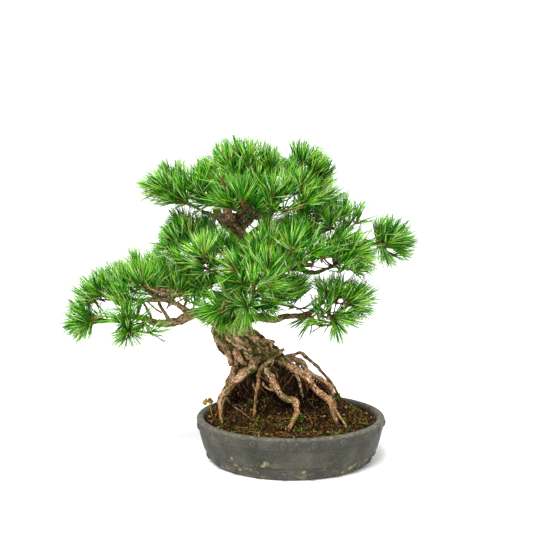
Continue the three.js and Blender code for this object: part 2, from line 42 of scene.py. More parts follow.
METRES = 0.001
TURN = 2 * math.pi
BODY = "root"
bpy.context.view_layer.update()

# The camera, and the photograph it answers to
PHOTO = 533  # pixels along each side
CAMERA = {"place": (-0.0383, -1.938, 0.564), "tilt": 82.49, "lens": 84.0, "sensor": 36.0}
CAMERA_PIXELS = PHOTO * CAMERA["lens"] / CAMERA["sensor"]
EYE = np.array(CAMERA["place"]) / METRES
LOOKING_DOWN = math.radians(90 - CAMERA["tilt"])

# Driving sizes of the solids
GAP = 0.3
RIM_RADIUS = 150
POT_HEIGHT = 70
FLOOR = 9
NEEDLE = 50
HUB = 7
TWIG = 1.5

# How far from front to back a pixel's line of sight is searched for a limb, the ground and the pot
LIMB_DEPTHS = np.arange(-70, 70, 0.5)
GROUND_DEPTHS = np.arange(-140, 140, 1.0)
POT_DEPTHS = np.arange(-RIM_RADIUS - 5, 0, 0.5)

# Pot
POT_OUTSIDE = [
    (0, 0), (122, 0), (126, 1.4), (129.5, 5), (133.5, 12), (139, 23), (143, 38), (146, 50), (148.6, 60),
    (149.8, 65.5), (149.4, 68.6), (147.4, POT_HEIGHT),
]
POT_INSIDE = [(140.4, POT_HEIGHT), (138.4, 69), (137.3, 67), (136.6, 64), (131, 45), (119, FLOOR), (0, FLOOR)]
POT_SIDES = 320
POT_STEPS = (1.3, 3)  # between rings of points on the outside and on the inside
POT_SWELL = 0.3  # how far the outer wall stands out beyond its profile
POT_UNEVEN = [(60, 3, 0.35), (9, 4, 0.12)]  # size, seed and height of its slow and its fine unevenness
POT_WORN = {"rim": 3.5, "foot": 5, "foot_share": 0.8}  # over what heights it is worn pale, and how much
POT_STAINED = {"foot": 1.1, "height": 34, "inside": 0.3}
STUDS_IN_A_ROW = 20
STUD_TURN = -5.3  # degrees from the front to the nearest stud
STUD_ROWS = [
    {"radius": 148.1, "height": 60, "droop": 13, "size": 5.8, "stained": 0.2},
    {"radius": 132.7, "height": 11, "droop": 27, "size": 5.4, "stained": 0.7},
]
STUD_PROFILE = [  # the distance from its middle, as a share of its size, and the height of each ring
    (0, 2.9), (0.42, 2.8), (0.7, 2.5), (0.86, 2.0), (0.95, 1.3), (1, 0.95), (1.16, 0.9), (1.2, -1.2),
]
# Painted shade on the studs' rings, darkest in the crease round each stud's foot
STUD_PAINTED_SHADE = [0, 0, 0.1, 0.3, 0.9, 0.7, 0]  # how dark each ring of a stud is, from the middle out
STUD_SIDES = 28
LINES = [49.5, 20.5]  # heights of the two lines cut round the pot
LINE_WIDTH = 1.5
LINE_DEPTH = 0.8
DRAIN = {"radius": 8, "offset": 46}

# Soil
SOIL_TOP = (136.1, 66)
SOIL_FOOT = (119, FLOOR)
SOIL = {"heap": 78, "top": 128, "x": -24, "y": 6, "left": 122, "right": 150, "deep": 100}
SOIL_SIDES = 260
SOIL_RINGS = 96
SOIL_CLEAR = 0.6  # between the soil's edge and the pot
SOIL_MARGIN = 4  # at the soil's edge, where no place seen in the photograph is looked for
CRUMB_COUNT = 4200
CRUMB_SHARES = [0.48, 0.3, 0.13, 0.09]  # dark, brown, orange and pale crumbs
CRUMB_REACH = 133
CRUMB_SIZE = {"least": 0.6, "more": 1.9, "rarity": 2.5}
CRUMB_LIFT = 0.3  # how far a crumb's middle stands over the soil, as a share of its size
SOIL_RELIEF = {"lumps": 2.0, "crumbs": 1.3, "plates": 1.6, "cracks": 0.9, "sunk": 0.8}
LITTER_COUNT = 300
LITTER_REACH = 128  # from the pot's middle to that of a straw
LITTER_EDGE = 132  # and to its ends
LITTER_LENGTH = (7, 26)
LITTER_LIFT = (0.6, 2.2)
STRAW_RADII = [0.35, 0.45, 0.4, 0.2]
PLANTED = 131  # how far from the pot's middle sprouts are sown

# The trunk's centre line and radius, from under the soil's level top to its tip
TRUNK = [
    (-22, 8, 108, 22), (-26, 6, 134, 27), (-38, 2, 152, 31), (-60, -3, 171, 32), (-80, -6, 187, 31.5),
    (-96, -8, 208, 29.5), (-101, -5, 234, 24.5), (-92, 3, 262, 19), (-77, 9, 290, 14.5),
    (-67, 11, 322, 11.5), (-76, 6, 354, 10), (-96, 0, 380, 9), (-99, 0, 404, 7.5), (-88, 0, 430, 6),
    (-75, 0, 450, 4.5),
]
TRUNK_SIDES = 176
TRUNK_STEPS = 440
TRUNK_STRETCH = 2.4  # how far the bark's pattern is drawn out along the trunk
LIMB_STRETCH = 1.35  # and along a root or bough
LIMB_STEP = 1.7  # between rings of points along a root or bough
TRUNK_RELIEF = {"plates": 2.2, "cracks": 2.0, "lumps": 1.4, "grain": 0.5, "sunk": 0.8}
LIMB_RELIEF = {"lumps": 1.5, "plates": 1.5, "cracks": 1.2, "sunk": 0.3}
FLUTES = 7
FLUTE_DEPTH = 0.16
FLUTE_TWIST = 3

# Bared roots: the radius at both ends, and the path
ROOTS = {
    "root_front_left": ((9.6, 3.2), [
        (-44, -12, 174), (-52, -27, 168), (-61, -41, 156), (-73, -48, 146), (-86, -50, 134),
        (-96, -50, 123), (-104, -48, 113), (-109, -47, 99), (-109, -48, 62),
    ]),
    "root_left": ((4.4, 3), [
        (-80, 2, 175), (-85, -8, 161), (-88, -8, 144), (-93, -5, 129), (-103, -3, 116), (-112, -2, 99),
        (-116, -2, 81), (-117, -2, 55),
    ]),
    "root_front_thin": ((4, 2.4), [
        (-12, -14, 178), (-22, -30, 175), (-36, -44, 166), (-45, -50, 158), (-50, -54, 147),
        (-51, -58, 133), (-54, -62, 120), (-56, -66, 104), (-58, -68, 76),
    ]),
    "root_front_middle": ((7.4, 4), [
        (-45, -14, 159), (-39, -42, 150), (-30, -52, 137), (-21, -60, 123), (-8, -67, 112), (5, -72, 109),
        (8, -76, 101), (7, -80, 91), (-4, -84, 68),
    ]),
    "root_front_right": ((7.8, 3.6), [
        (-34, -8, 164), (-4, -32, 158), (22, -42, 141), (42, -47, 120), (59, -50, 105), (72, -57, 66),
    ]),
    "root_right": ((6, 4), [
        (-34, 0, 160), (8, -6, 160), (32, -10, 138), (51, -14, 126), (63, -22, 110), (72, -30, 74),
    ]),
    "root_right_back": ((3.8, 2.8), [
        (-26, 8, 158), (-7, 14, 160), (4, 20, 163), (17, 24, 164), (27, 28, 156), (38, 30, 146),
        (63, 38, 119), (94, 48, 64),
    ]),
    "root_back_left": ((8, 4), [(-58, 10, 164), (-82, 44, 148), (-97, 62, 116), (-106, 74, 52)]),
    "root_back_middle": ((7.5, 4), [(-38, 8, 158), (-30, 48, 146), (-24, 70, 116), (-20, 90, 62)]),
}
TAPER = 1.2

# Boughs: the limb each leaves, the share of that limb's length, the radius at both ends, and the path
BOUGHS = {
    "bough_low_left": ("trunk", 0.385, (10, 3), [
        (-146, -15, 237), (-177, -20, 225), (-208, -20, 222), (-240, -18, 231), (-276, -14, 226),
    ]),
    "bough_low_left_fork": ("bough_low_left", 0.7, (3.2, 2), [(-236, -38, 217), (-244, -42, 214)]),
    "bough_low_left_rise": ("bough_low_left", 0.27, (5.5, 2.4), [
        (-173, -27, 250), (-196, -30, 260), (-235, -18, 258), (-262, -6, 262),
    ]),
    "bough_left_upper": ("trunk", 0.47, (6.5, 2.6), [
        (-134, -15, 267), (-173, -30, 273), (-200, -35, 276), (-218, -32, 284),
    ]),
    "bough_left_inner": ("trunk", 0.52, (5, 2.5), [(-112, 14, 286), (-140, 10, 280)]),
    "bough_left_back": ("trunk", 0.49, (5.5, 2.4), [(-130, 32, 262), (-182, 48, 254)]),
    "bough_mid_left": ("trunk", 0.66, (4.6, 2.4), [(-100, 6, 344), (-128, 2, 346)]),
    "bough_top_left": ("trunk", 0.79, (4.6, 2.4), [(-126, -4, 390), (-148, -5, 402)]),
    "bough_low_right": ("trunk", 0.37, (8, 2.6), [
        (-50, -8, 229), (-27, -12, 225), (-8, -12, 232), (24, -9, 234), (42, -4, 245), (54, 2, 257),
    ]),
    "bough_low_right_fork": ("bough_low_right", 0.68, (3.4, 2), [(44, -20, 219), (56, -22, 219)]),
    "bough_mid_right": ("trunk", 0.6, (7, 2.6), [
        (-33, 0, 305), (8, -5, 306), (36, -6, 300), (58, -9, 307),
    ]),
    "bough_mid_right_rise": ("bough_mid_right", 0.55, (4.4, 1.8), [
        (26, -6, 320), (50, -4, 326), (92, 6, 330), (130, 6, 343),
    ]),
    "bough_right_shoulder": ("trunk", 0.69, (5.5, 2.4), [(-32, 16, 353), (20, 22, 354), (64, 18, 366)]),
    "bough_top_right": ("trunk", 0.74, (5, 2.4), [(-52, 6, 392), (-20, 8, 418), (2, 9, 436)]),
    "bough_shoulder": ("trunk", 0.71, (4.6, 2.4), [(-42, -8, 374), (6, -6, 382)]),
    "bough_front_right": ("trunk", 0.63, (4.6, 2.4), [(-42, -26, 333), (-18, -50, 340)]),
    "bough_back_left": ("trunk", 0.58, (6, 2.6), [(-98, 46, 320), (-126, 64, 328)]),
    "bough_back_right": ("trunk", 0.64, (6, 2.6), [(-34, 46, 328), (4, 66, 332)]),
    "bough_back_low": ("trunk", 0.51, (6, 2.6), [(-74, 50, 270), (-62, 74, 272)]),
}

# Small roots and stubs, which only the looks have: the radius at both ends, and the path
ROOTLETS = [
    ((5.5, 4.2), [(-84, -24, 186), (-88, -34, 180), (-81, -39, 173), (-75, -38, 163)]),
    ((6.5, 4.0), [(-104, -18, 204), (-102, -27, 190), (-97, -30, 172), (-93, -28, 156)]),
    ((4.2, 3.0), [(-84, -22, 172), (-88, -24, 158), (-90, -22, 140), (-93, -20, 122)]),
    ((3.4, 2.2), [(4, -36, 150), (12, -42, 137), (15, -46, 124), (19, -49, 110)]),
    ((2.8, 2.0), [(-105, -50, 114), (-111, -54, 104), (-110, -60, 92), (-107, -66, 72)]),
    ((3.6, 2.8), [(40, -18, 136), (55, -28, 130), (63, -33, 118), (67, -38, 98), (70, -42, 76)]),
    ((3.0, 1.8), [(60, -49, 112), (66, -52, 98), (74, -60, 84), (84, -66, 70)]),
    ((3.8, 2.0), [(-54, 24, 158), (-61, 46, 145), (-64, 70, 118), (-70, 82, 92), (-72, 90, 62)]),
    ((3.4, 1.8), [(2, 17, 162), (9, 34, 152), (16, 56, 127), (26, 72, 98), (34, 84, 62)]),
    ((2.8, 1.6), [(-78, 44, 146), (-88, 52, 122), (-96, 56, 94), (-100, 58, 64)]),
]

# Kinds of limbs: the points round each, its relief as a share, its first seed, how far it bends this way and
# that, how mossy it is, and how orange at both ends
KINDS = {
    "root": (24, 1.2, 60, 1.6, 0.2, (0, 0.6)),
    "bough": (14, 0.9, 200, 1, 0, (0, 0)),
    "branchlet": (10, 0.8, 700, 0.6, 0, (0, 0)),
    "rootlet": (12, 0.9, 400, 1.8, 0.2, (0.2, 0.9)),
    "rootlet_seen": (10, 0.7, 600, 0.8, 0, (0.3, 0.8)),
    "knob": (20, 0.8, 500, 0.4, 0, (0, 0)),
}
ROOTS_WARM = {"root_front_thin": (0.8, 0.9), "root_front_middle": (0, 0.9), "root_front_left": (0, 0.3)}
TRUNK_COLLAR = 0.6  # how far a bough's foot swells on the trunk, as a share
BOUGH_COLLAR = 0.3  # and on another bough

# Masses of needles: what each stands on, the middle of its space, its reach, its sprays, and its lean
UP = (0, 0, 1)
MASSES = [
    ("mass_top_crown", "trunk_tip", (-65, 2, 469), (72, 61, 50), 5, UP),
    ("mass_top_right", "bough_top_right", (17, 10, 459), (58, 59, 52), 4, UP),
    ("mass_top_left", "bough_top_left", (-175, -2, 435), (68, 61, 50), 5, (-0.4, 0, 1)),
    ("mass_top_left_inner", 0.885, (-129, 4, 428), (58, 57, 52), 4, (-0.2, 0, 1)),
    ("mass_top_front", 0.85, (-74, -52, 420), (62, 59, 50), 4, (0, -0.5, 1)),
    ("mass_top_front_right", 0.9, (-14, -48, 424), (60, 57, 52), 4, (0.2, -0.5, 1)),
    ("mass_top_back", 0.82, (-54, 72, 398), (72, 61, 56), 4, (0, 0.6, 1)),
    ("mass_shoulder", "bough_shoulder", (42, -14, 396), (60, 59, 54), 4, (0.4, -0.3, 1)),
    ("mass_right_upper", "bough_right_shoulder", (92, 15, 372), (55, 57, 54), 4, (0.5, 0, 1)),
    ("mass_right_middle", "bough_mid_right", (84, -20, 328), (66, 59, 50), 4, (0.6, -0.3, 0.7)),
    ("mass_right_far", "bough_mid_right_rise", (153, 5, 353), (60, 55, 52), 3, (0.8, 0, 0.6)),
    ("mass_left_upper", "bough_mid_left", (-164, -4, 356), (68, 59, 52), 5, (-0.6, 0, 0.9)),
    ("mass_left_front", 0.67, (-122, -62, 336), (60, 57, 50), 4, (-0.3, -0.6, 0.9)),
    ("mass_front_low", 0.61, (-54, -88, 314), (72, 59, 56), 6, (0, -0.5, 0.9)),
    ("mass_front_right", "bough_front_right", (-2, -76, 352), (64, 57, 54), 4, (0.2, -0.5, 0.9)),
    ("mass_low_middle_right", 0.53, (0, -22, 268), (62, 57, 46), 4, (0.6, -0.3, 0.8)),
    ("mass_low_front", 0.48, (-86, -66, 258), (76, 57, 50), 5, (0, -1, 0.2)),
    ("mass_left_inner", "bough_left_inner", (-165, 5, 286), (60, 59, 50), 4, (-0.2, 0, 1)),
    ("mass_left_high", "bough_left_upper", (-230, -15, 296), (62, 57, 52), 4, (-0.4, -0.2, 1)),
    ("mass_left_outer", "bough_low_left_rise", (-286, 8, 273), (62, 57, 52), 4, (-0.6, 0.1, 0.9)),
    ("mass_left_end", "bough_low_left", (-318, -10, 230), (54, 55, 52), 3, (-1, 0, 0.3)),
    ("mass_left_low", "bough_low_left_fork", (-252, -48, 229), (60, 57, 50), 4, (-0.5, -0.8, -0.1)),
    ("mass_right_low", "bough_low_right", (75, 6, 263), (60, 57, 48), 4, (0.3, 0, 0.9)),
    ("mass_right_lowest", "bough_low_right_fork", (80, -24, 238), (64, 57, 52), 4, (0.7, -0.5, 0.2)),
    ("mass_back_left", "bough_back_left", (-150, 84, 345), (70, 61, 56), 4, (-0.3, 0.7, 0.8)),
    ("mass_back_right", "bough_back_right", (32, 88, 350), (70, 61, 56), 4, (0.3, 0.7, 0.8)),
    ("mass_back_low", "bough_back_low", (-58, 102, 290), (68, 59, 54), 4, (0, 1, 0.5)),
    ("mass_left_back", "bough_left_back", (-211, 60, 262), (64, 57, 50), 4, (-0.4, 0.6, 0.8)),
]

# Growth by the source's rule
SEED = 4711
GOLDEN_ANGLE = math.pi * (3 - math.sqrt(5))
SPRAY_DROP = -8
SPRAY_MARGIN = 32
SPRAY_SPREAD = (0.8, 0.35)  # the least, and what chance adds
SPRAY_STEP = 14
SPRAY_SPLAY = 0.7
SPRAY_APART = 26
SPRAY_ROOM = 3 * GAP  # between a spray and the limbs
SPRAY_TRIES = 30
STEM_RADIUS = 3
STEM_TIP = 1.3
STEM_BEND = 0.4
TWIG_LEAVES = (0.72, 0.97)
FORK_AHEAD = 10
FORK_DROP = 16

# Finer growth, which only the looks have: shoots beside each spray, and needles in bundles of five
SHOOTS_BESIDE = 2  # tries for shoots round a spray
SHOOT_SIDE = 19  # how far a shoot stands from its spray
SHOOT_BACK = 7
SHOOT_SPLAY = 0.6
SHOOT_RANGES = {"side": (0.75, 1.2), "back": (-0.4, 1.8), "splay": (0.5, 1.3), "leaves": (0.45, 0.85)}
SHOOTS_FILLING = 5  # tries for shoots between the sprays of a mass
FILLING_REACH = (0.15, 0.52)  # how far out they stand, as shares of the mass's reach
FILLING_DROP = 4
FILLING_BELOW = 0.15  # how far below the mass's middle they may stand, as a share
FILLING_SPLAY = 1.3
FILLING_LEAVES = (0.6, 0.95)
# What a shoot and a tuft keep to: the distance from others, how far out in the mass's space and past its
# walls the base may stand, and its room between limbs
SHOOT_LIMITS = {"apart": 15, "reach": 0.68, "past": 0, "room": 1}
TUFT_LIMITS = {"apart": 3, "reach": 1, "past": 6, "room": -6}
TUFT_CLEAR = 20  # how far other shoots keep from a tuft
SHOOT_RADIUS = 3.0  # at its base, where its room is tested
TUFT_LEAVES = (0.7, 0.95)
KNEE = (0.55, 0.16)  # where a shoot's twig bends, along it and below it, as shares of its length
TWIG_STRAIGHT = 5  # how far it runs straight to its shoot
TWIG_RADII = [1.25, 1.1, 1.0, 1.0]
SPRAY_TWIG_RADII = [1.9, 1.6, 1.3]
SPRAY_KNEE = 0.1
SHOOT_END = [(-12, 1.0), (-1, 1.6), (4, 1.2), (8, 0.4)]  # places along a shoot, from its base, and radii
SHOOT_THICK = 1.5  # how much thicker the shoot of a tuft seen in the photograph is
BUNDLE = 5
SPARSE = (  # masses that let more light through
    "mass_right_low", "mass_right_lowest", "mass_right_upper", "mass_right_far", "mass_left_end",
    "mass_left_low",
)
BUNDLES = 15  # bundles of needles on a shoot
BUNDLES_SPARSE = 10
BUNDLE_ZONE = (-6, 4)  # where they stand along a shoot, from its base
BUNDLE_TURN = (68, 4)  # degrees between a needle and its shoot, from the lowest bundle to the highest
BUNDLE_EASE = 0.75  # how soon they close up along the shoot
BUNDLE_STRAY = (7, 0.25)  # degrees of lean and radians of turn by which a bundle strays
BUNDLE_OUT = 1.2  # how far a bundle's root stands off the middle of its shoot
NEEDLE_SPREAD = 0.12
NEEDLE_RADIUS = 0.58
NEEDLE_FOOT = 0.8  # its root's radius, as a share
NEEDLE_LENGTH = (0.7, 1.06)  # the least and the most, as shares of a needle's usual length
NEEDLE_RISE = (-0.02, 0.16)  # how far a needle bends towards its shoot's tip
NEEDLE_LEAST = 0.66  # a needle with room for less of its length than this is left out
NEEDLE_TESTS = np.linspace(0.25, 1, 7)[None, :, None]  # where along a needle its room is tested
NEEDLES_LEAST = 10  # a shoot with fewer needles than this stays bare
NEEDLE_NEAR = 90  # limbs farther off than this can't meet a shoot's needles
LOOSE = (8, 20)  # how far a needle may cross into a neighbouring mass
LOOSE_SEEN = (10, 28)  # the same for a tuft seen in the photograph
ROOMY = (0.98, 1.14)  # how far it may pass its mass's own reach, as a share
ROOMY_SEEN = (1.1, 1.34)  # the same for a tuft seen in the photograph
ROOMY_MORE = 0.3  # more still for such a tuft on a sparse mass, or where it faces the viewer
FACING = 0.8  # from here on, a tuft faces the viewer
ASIDE = (0.31, 0.52, 0.8)  # any direction that no shoot runs along
ASIDE_NEEDLE = (0.37, 0.61, 0.7)  # and one for needles
FAR = 99.0

# Tufts that stand out in the photograph: the pixel of each one's base, its place from front to back in
# millimetres, how far it turns clockwise from upright in degrees, and how far it faces the viewer
TUFTS_SEEN = [
    (171, 201, -22, -62, 0.2), (168, 190, -30, -35, 0.2), (191, 189, -26, -6, 0.2), (182, 186, 18, -14, 0),
    (160, 188, -20, -80, 0.1), (200, 190, -30, 8, 0.2), (207, 178, -20, -24, 0.1),
    (214, 170, -16, -20, 0.1), (208, 203, -16, -72, 0.25), (198, 198, 0, -50, 0.1),
    (178, 194, 0, -45, 0.1), (226, 204, -40, -70, 0.3), (212, 181, -34, -12, 0.3),
    (242, 200, -84, -8, 0.35), (222, 181, -70, -24, 0.3), (272, 194, -80, 8, 0.3),
    (305, 204, -60, 20, 0.3), (304, 203, -66, 62, 0.3), (303, 186, -64, 22, 0.3), (302, 164, -24, 12, 0.3),
    (250, 164, -30, 2, 0.3), (272, 170, -30, 16, 0.3), (229, 170, -28, -22, 0.2), (258, 184, -50, 8, 0.3),
    (236, 178, -36, -14, 0.2), (286, 178, -30, 20, 0.2), (262, 166, 0, 4, 0.1), (240, 160, -10, -14, 0.1),
    (288, 192, -50, 28, 0.25), (312, 176, -20, 36, 0.2), (318, 188, -20, 54, 0.15),
    (326, 201, -24, 66, 0.15), (316, 198, -50, 44, 0.3), (296, 158, -10, -8, 0.1),
    (203, 253, -92, -14, 0.3), (178, 244, -36, -40, 0.2), (180, 264, -50, -34, 0.3),
    (180, 292, -34, 2, 0.2), (190, 238, -20, -22, 0.2), (172, 250, -30, -58, 0.2),
    (196, 262, -50, -70, 0.3), (212, 262, -40, -20, 0.2), (184, 226, 0, -18, 0.1),
    (235, 269, -112, -36, 0.45), (268, 269, -118, 2, 0.35), (292, 248, -106, 8, 0.4),
    (262, 228, 36, 10, 0.3), (246, 222, 40, -20, 0.2), (296, 262, -34, -10, 0.3), (313, 262, -36, 10, 0.2),
    (214, 270, -70, -30, 0.3), (205, 290, -30, -30, 0.3), (258, 246, -40, 6, 0.2),
    (270, 242, -30, 16, 0.2), (250, 238, -20, -12, 0.2), (282, 250, -60, -12, 0.3),
    (243, 250, -50, 4, 0.2), (300, 258, -50, -50, 0.3), (212, 284, -20, 10, 0.1), (322, 256, -52, 0, 0.3),
    (353, 256, -40, 82, 0.3), (336, 243, -50, 34, 0.3), (342, 216, -34, 12, 0.25),
    (352, 250, -50, 30, 0.4), (356, 222, -20, 38, 0.15), (330, 226, -40, -6, 0.3),
    (344, 238, -40, 20, 0.3), (355, 258, -40, 120, 0.3), (362, 244, -20, 56, 0.2),
    (310, 244, -60, -8, 0.3), (306, 232, -50, -20, 0.25), (382, 243, 0, 2, 0.1), (392, 242, -8, 52, 0.2),
    (386, 245, 4, 128, 0.1), (388, 240, -4, 14, 0.1), (377, 242, 0, -8, 0), (396, 243, -6, 84, 0.2),
    (330, 293, -24, 4, 0.35), (352, 303, -34, 78, 0.25), (333, 319, -46, 140, 0.45),
    (312, 318, -30, -140, 0.4), (322, 312, -36, -6, 0.3), (334, 294, -24, 50, 0.3),
    (327, 293, -24, -44, 0.3), (352, 302, -28, 50, 0.2), (354, 305, -30, 108, 0.2),
    (334, 317, -42, 104, 0.35), (334, 321, -42, 172, 0.35), (219, 309, -96, -62, 0.55),
    (247, 305, -100, 20, 0.85), (253, 285, -116, 8, 0.5), (279, 297, -48, 62, 0.15),
    (264, 302, -60, 100, 0.3), (258, 290, -80, 64, 0.3), (268, 290, -50, 70, 0.2),
    (272, 300, -40, 78, 0.15), (246, 306, -94, 180, 0.6), (219, 310, -90, -110, 0.5),
    (228, 296, -80, -20, 0.4), (262, 280, -60, 48, 0.2), (282, 288, -30, 56, 0.1),
    (236, 286, -60, -50, 0.3), (143, 283, -42, 2, 0.3), (124, 292, -22, 0, 0.2), (97, 292, -12, -34, 0.2),
    (88, 319, -20, -18, 0.2), (89, 321, -26, -96, 0.2), (128, 332, -56, 20, 0.85),
    (150, 332, -48, 70, 0.5), (122, 303, -40, -8, 0.3), (108, 290, -14, -14, 0.2),
    (90, 320, -30, -112, 0.35), (134, 290, -30, 10, 0.2), (155, 290, -30, 6, 0.2),
    (166, 292, -20, -4, 0.1), (92, 300, -10, -60, 0.1), (120, 318, -40, -30, 0.3),
    (89, 322, -22, -128, 0.2), (246, 176, 20, -6, 0.1), (256, 178, 26, 4, 0.1), (266, 176, 20, 10, 0.1),
    (238, 172, 24, -12, 0.1), (276, 172, 14, 16, 0.1), (252, 188, 10, 0, 0.2), (314, 190, 0, 26, 0.1),
    (310, 182, 0, 24, 0.1), (222, 166, -14, -16, 0.1), (216, 166, -14, -26, 0.1),
    (228, 162, -10, -14, 0.1), (310, 168, -10, 24, 0.1), (186, 202, -20, -40, 0.3),
    (178, 202, -20, -66, 0.3), (146, 284, -30, 6, 0.1), (136, 284, -30, -6, 0.1), (152, 286, -24, 14, 0.1),
    (126, 284, -20, -12, 0.1), (114, 288, -16, -18, 0.1), (252, 236, -24, -4, 0.2),
    (262, 238, -30, 8, 0.2), (250, 240, -10, -10, 0.2), (258, 238, 0, 4, 0.2), (266, 244, -16, 12, 0.3),
    (246, 232, 6, -20, 0.2), (262, 252, -40, 0, 0.3), (240, 246, -24, -20, 0.2), (232, 250, -30, -30, 0.2),
    (272, 232, 20, 10, 0.2), (172, 284, -30, -4, 0.2), (168, 272, -20, -30, 0.1), (176, 304, -30, 60, 0.2),
    (170, 303, -26, 30, 0.2), (186, 302, -20, 20, 0.2), (196, 303, -30, 30, 0.2),
    (126, 318, -50, -20, 0.4), (130, 322, -50, 10, 0.4), (134, 314, -40, -30, 0.3),
    (138, 318, -40, 20, 0.3), (128, 310, -30, -60, 0.3), (124, 304, -30, -20, 0.3),
    (132, 302, -30, 16, 0.3), (380, 246, 0, 136, 0.1), (326, 296, -20, -70, 0.3),
    (318, 300, -20, -50, 0.3), (306, 318, -28, -120, 0.3), (338, 298, -24, 20, 0.3),
    (346, 300, -30, 50, 0.2), (350, 298, -24, 30, 0.2), (358, 300, -30, 60, 0.2), (384, 243, 0, 30, 0.1),
    (384, 245, 0, 100, 0.1), (390, 244, 0, 70, 0.1), (386, 241, -6, -2, 0.2), (384, 244, -10, 60, 0.3),
    (390, 247, -6, 112, 0.2), (382, 246, -6, 150, 0.2), (340, 296, -24, 36, 0.2), (346, 298, -20, 14, 0.2),
    (318, 316, -30, -20, 0.3), (324, 322, -36, -80, 0.3), (330, 310, -30, 10, 0.4),
    (94, 300, -10, -30, 0.1), (86, 312, -10, -50, 0.1), (90, 320, -20, -150, 0.2),
    (84, 322, -20, -100, 0.1), (128, 333, -52, -138, 0.6), (129, 333, -52, 138, 0.6),
    (127, 331, -52, -80, 0.7), (130, 331, -52, 100, 0.7), (262, 247, -72, -4, 0.2),
    (271, 245, -72, 6, 0.2), (256, 248, -76, -12, 0.2), (282, 268, -84, 6, 0.3), (290, 268, -70, 16, 0.3),
    (276, 258, -60, 0, 0.2), (266, 238, -60, 2, 0.15),
]

# Where sky or bark shows between the needles: the pixel and the reach of each opening in pixels
OPENINGS_SEEN = [
    (222, 215, 4), (229, 212, 3), (230, 221, 5), (237, 218, 4), (236, 228, 5), (242, 232, 3),
    (284, 318, 3), (292, 317, 4), (300, 315, 4), (307, 314, 3), (338, 300, 3), (337, 308, 3),
    (313, 291, 3), (306, 301, 4), (299, 308, 4), (292, 309, 3), (318, 265, 4), (326, 264, 4),
    (334, 262, 3), (349, 273, 4), (358, 336, 7), (368, 333, 6), (369, 226, 4), (151, 238, 4),
    (371, 236, 3), (368, 212, 5), (152, 228, 5), (155, 218, 5), (160, 212, 5), (206, 267, 3),
    (104, 300, 3), (111, 304, 3), (144, 309, 3), (156, 312, 3), (172, 310, 4), (108, 328, 5),
    (100, 334, 6), (323, 305, 2), (392, 252, 3), (284, 146, 5), (285, 152, 3),
]

# Thin boughs seen in the photograph: the radius at both ends, and the pixels they run through with their
# place from front to back in millimetres
BRANCHLETS_SEEN = [
    ((3.4, 2.2), [(169, 320, -20), (165, 313, -22), (160, 306, -25), (158, 299, -27)]),
    ((1.8, 1.4), [(162, 313, -22), (157, 310, -22), (152, 306, -24), (147, 301, -27)]),
    ((2.5, 1.9), [(153, 322, -20), (149, 313, -20), (145, 305, -22), (139, 298, -26)]),
    ((1.4, 0.9), [(184, 300, -26), (190, 302, -26), (197, 305, -26), (207, 307, -30)]),
    ((1.8, 1.4), [(120, 322, -14), (110, 320, -12), (98, 321, -12), (88, 321, -14)]),
    ((1.5, 1.0), [(118, 299, -14), (110, 296, -12), (102, 293, -10), (95, 292, -10)]),
    ((6.5, 8.0), [(216, 207, 0), (219, 216, 0), (226, 225, -2), (236, 233, -2), (245, 241, 0)]),
    ((5.0, 3.2), [(226, 226, -8), (233, 219, -10), (241, 212, -12), (249, 204, -14)]),
    ((9.0, 5.0), [(232, 231, 2), (237, 224, 2), (243, 216, 0), (250, 207, -4)]),
    ((6.5, 3.0), [(282, 254, -2), (292, 258, -5), (303, 263, -8), (313, 266, -10)]),
    ((2.8, 1.8), [(304, 259, -8), (316, 257, -10), (329, 257, -12), (340, 257, -14)]),
    ((4.0, 2.4), [(232, 276, -20), (222, 279, -24), (212, 283, -20), (204, 290, -16)]),
    ((3.0, 1.8), [(184, 294, -34), (174, 295, -42), (164, 294, -46), (153, 290, -48), (144, 285, -46)]),
]

# The trunk's fused strands where they show: the radius at both ends, and the pixels they run through
STRANDS_SEEN = [
    ((8.5, 7.5), [(233, 322), (240, 326), (248, 331), (256, 338), (263, 345), (267, 351), (268, 357)]),
    ((7.5, 7.5), [(228, 324), (233, 330), (239, 336), (244, 342), (247, 349), (249, 357)]),
    ((7, 6), [(214, 323), (219, 329), (225, 335), (231, 340), (237, 344), (240, 347)]),
    ((5.5, 4.5), [(211, 332), (215, 339), (221, 345), (226, 351), (229, 358), (231, 366)]),
    ((4, 3.5), [(271, 343), (272, 350), (274, 356)]),
    ((4, 3), [(258, 348), (262, 354), (265, 360)]),
    ((5, 4), [(266, 340), (275, 344), (280, 350), (285, 356)]),
]
STRAND_RISE = 0.62  # how far a strand stands out, as a share of its radius
STRAND_BARE = (9, 8)  # how far off a strand the trunk's own flutes begin, and over what width

# Ends of old roots on the trunk: the radius at both ends, and each pixel with how far off the trunk it lies
KNOBS_SEEN = [
    ((11, 6.5), [(262, 352, -20), (268, 352, -12), (275, 353, -6), (280, 353.5, -1)]),
    ((4.6, 3.8), [(234, 350, -1), (236, 353, 3), (239, 358, 3), (243, 362, 1), (247, 364, -2)]),
    ((4.4, 3.6), [(236, 354, -3), (237, 360, 1), (236, 367, 3), (235, 373, 3), (233, 379, 2)]),
    ((4, 3), [(262, 341, -3), (268, 341, -1), (274, 342, 1)]),
]

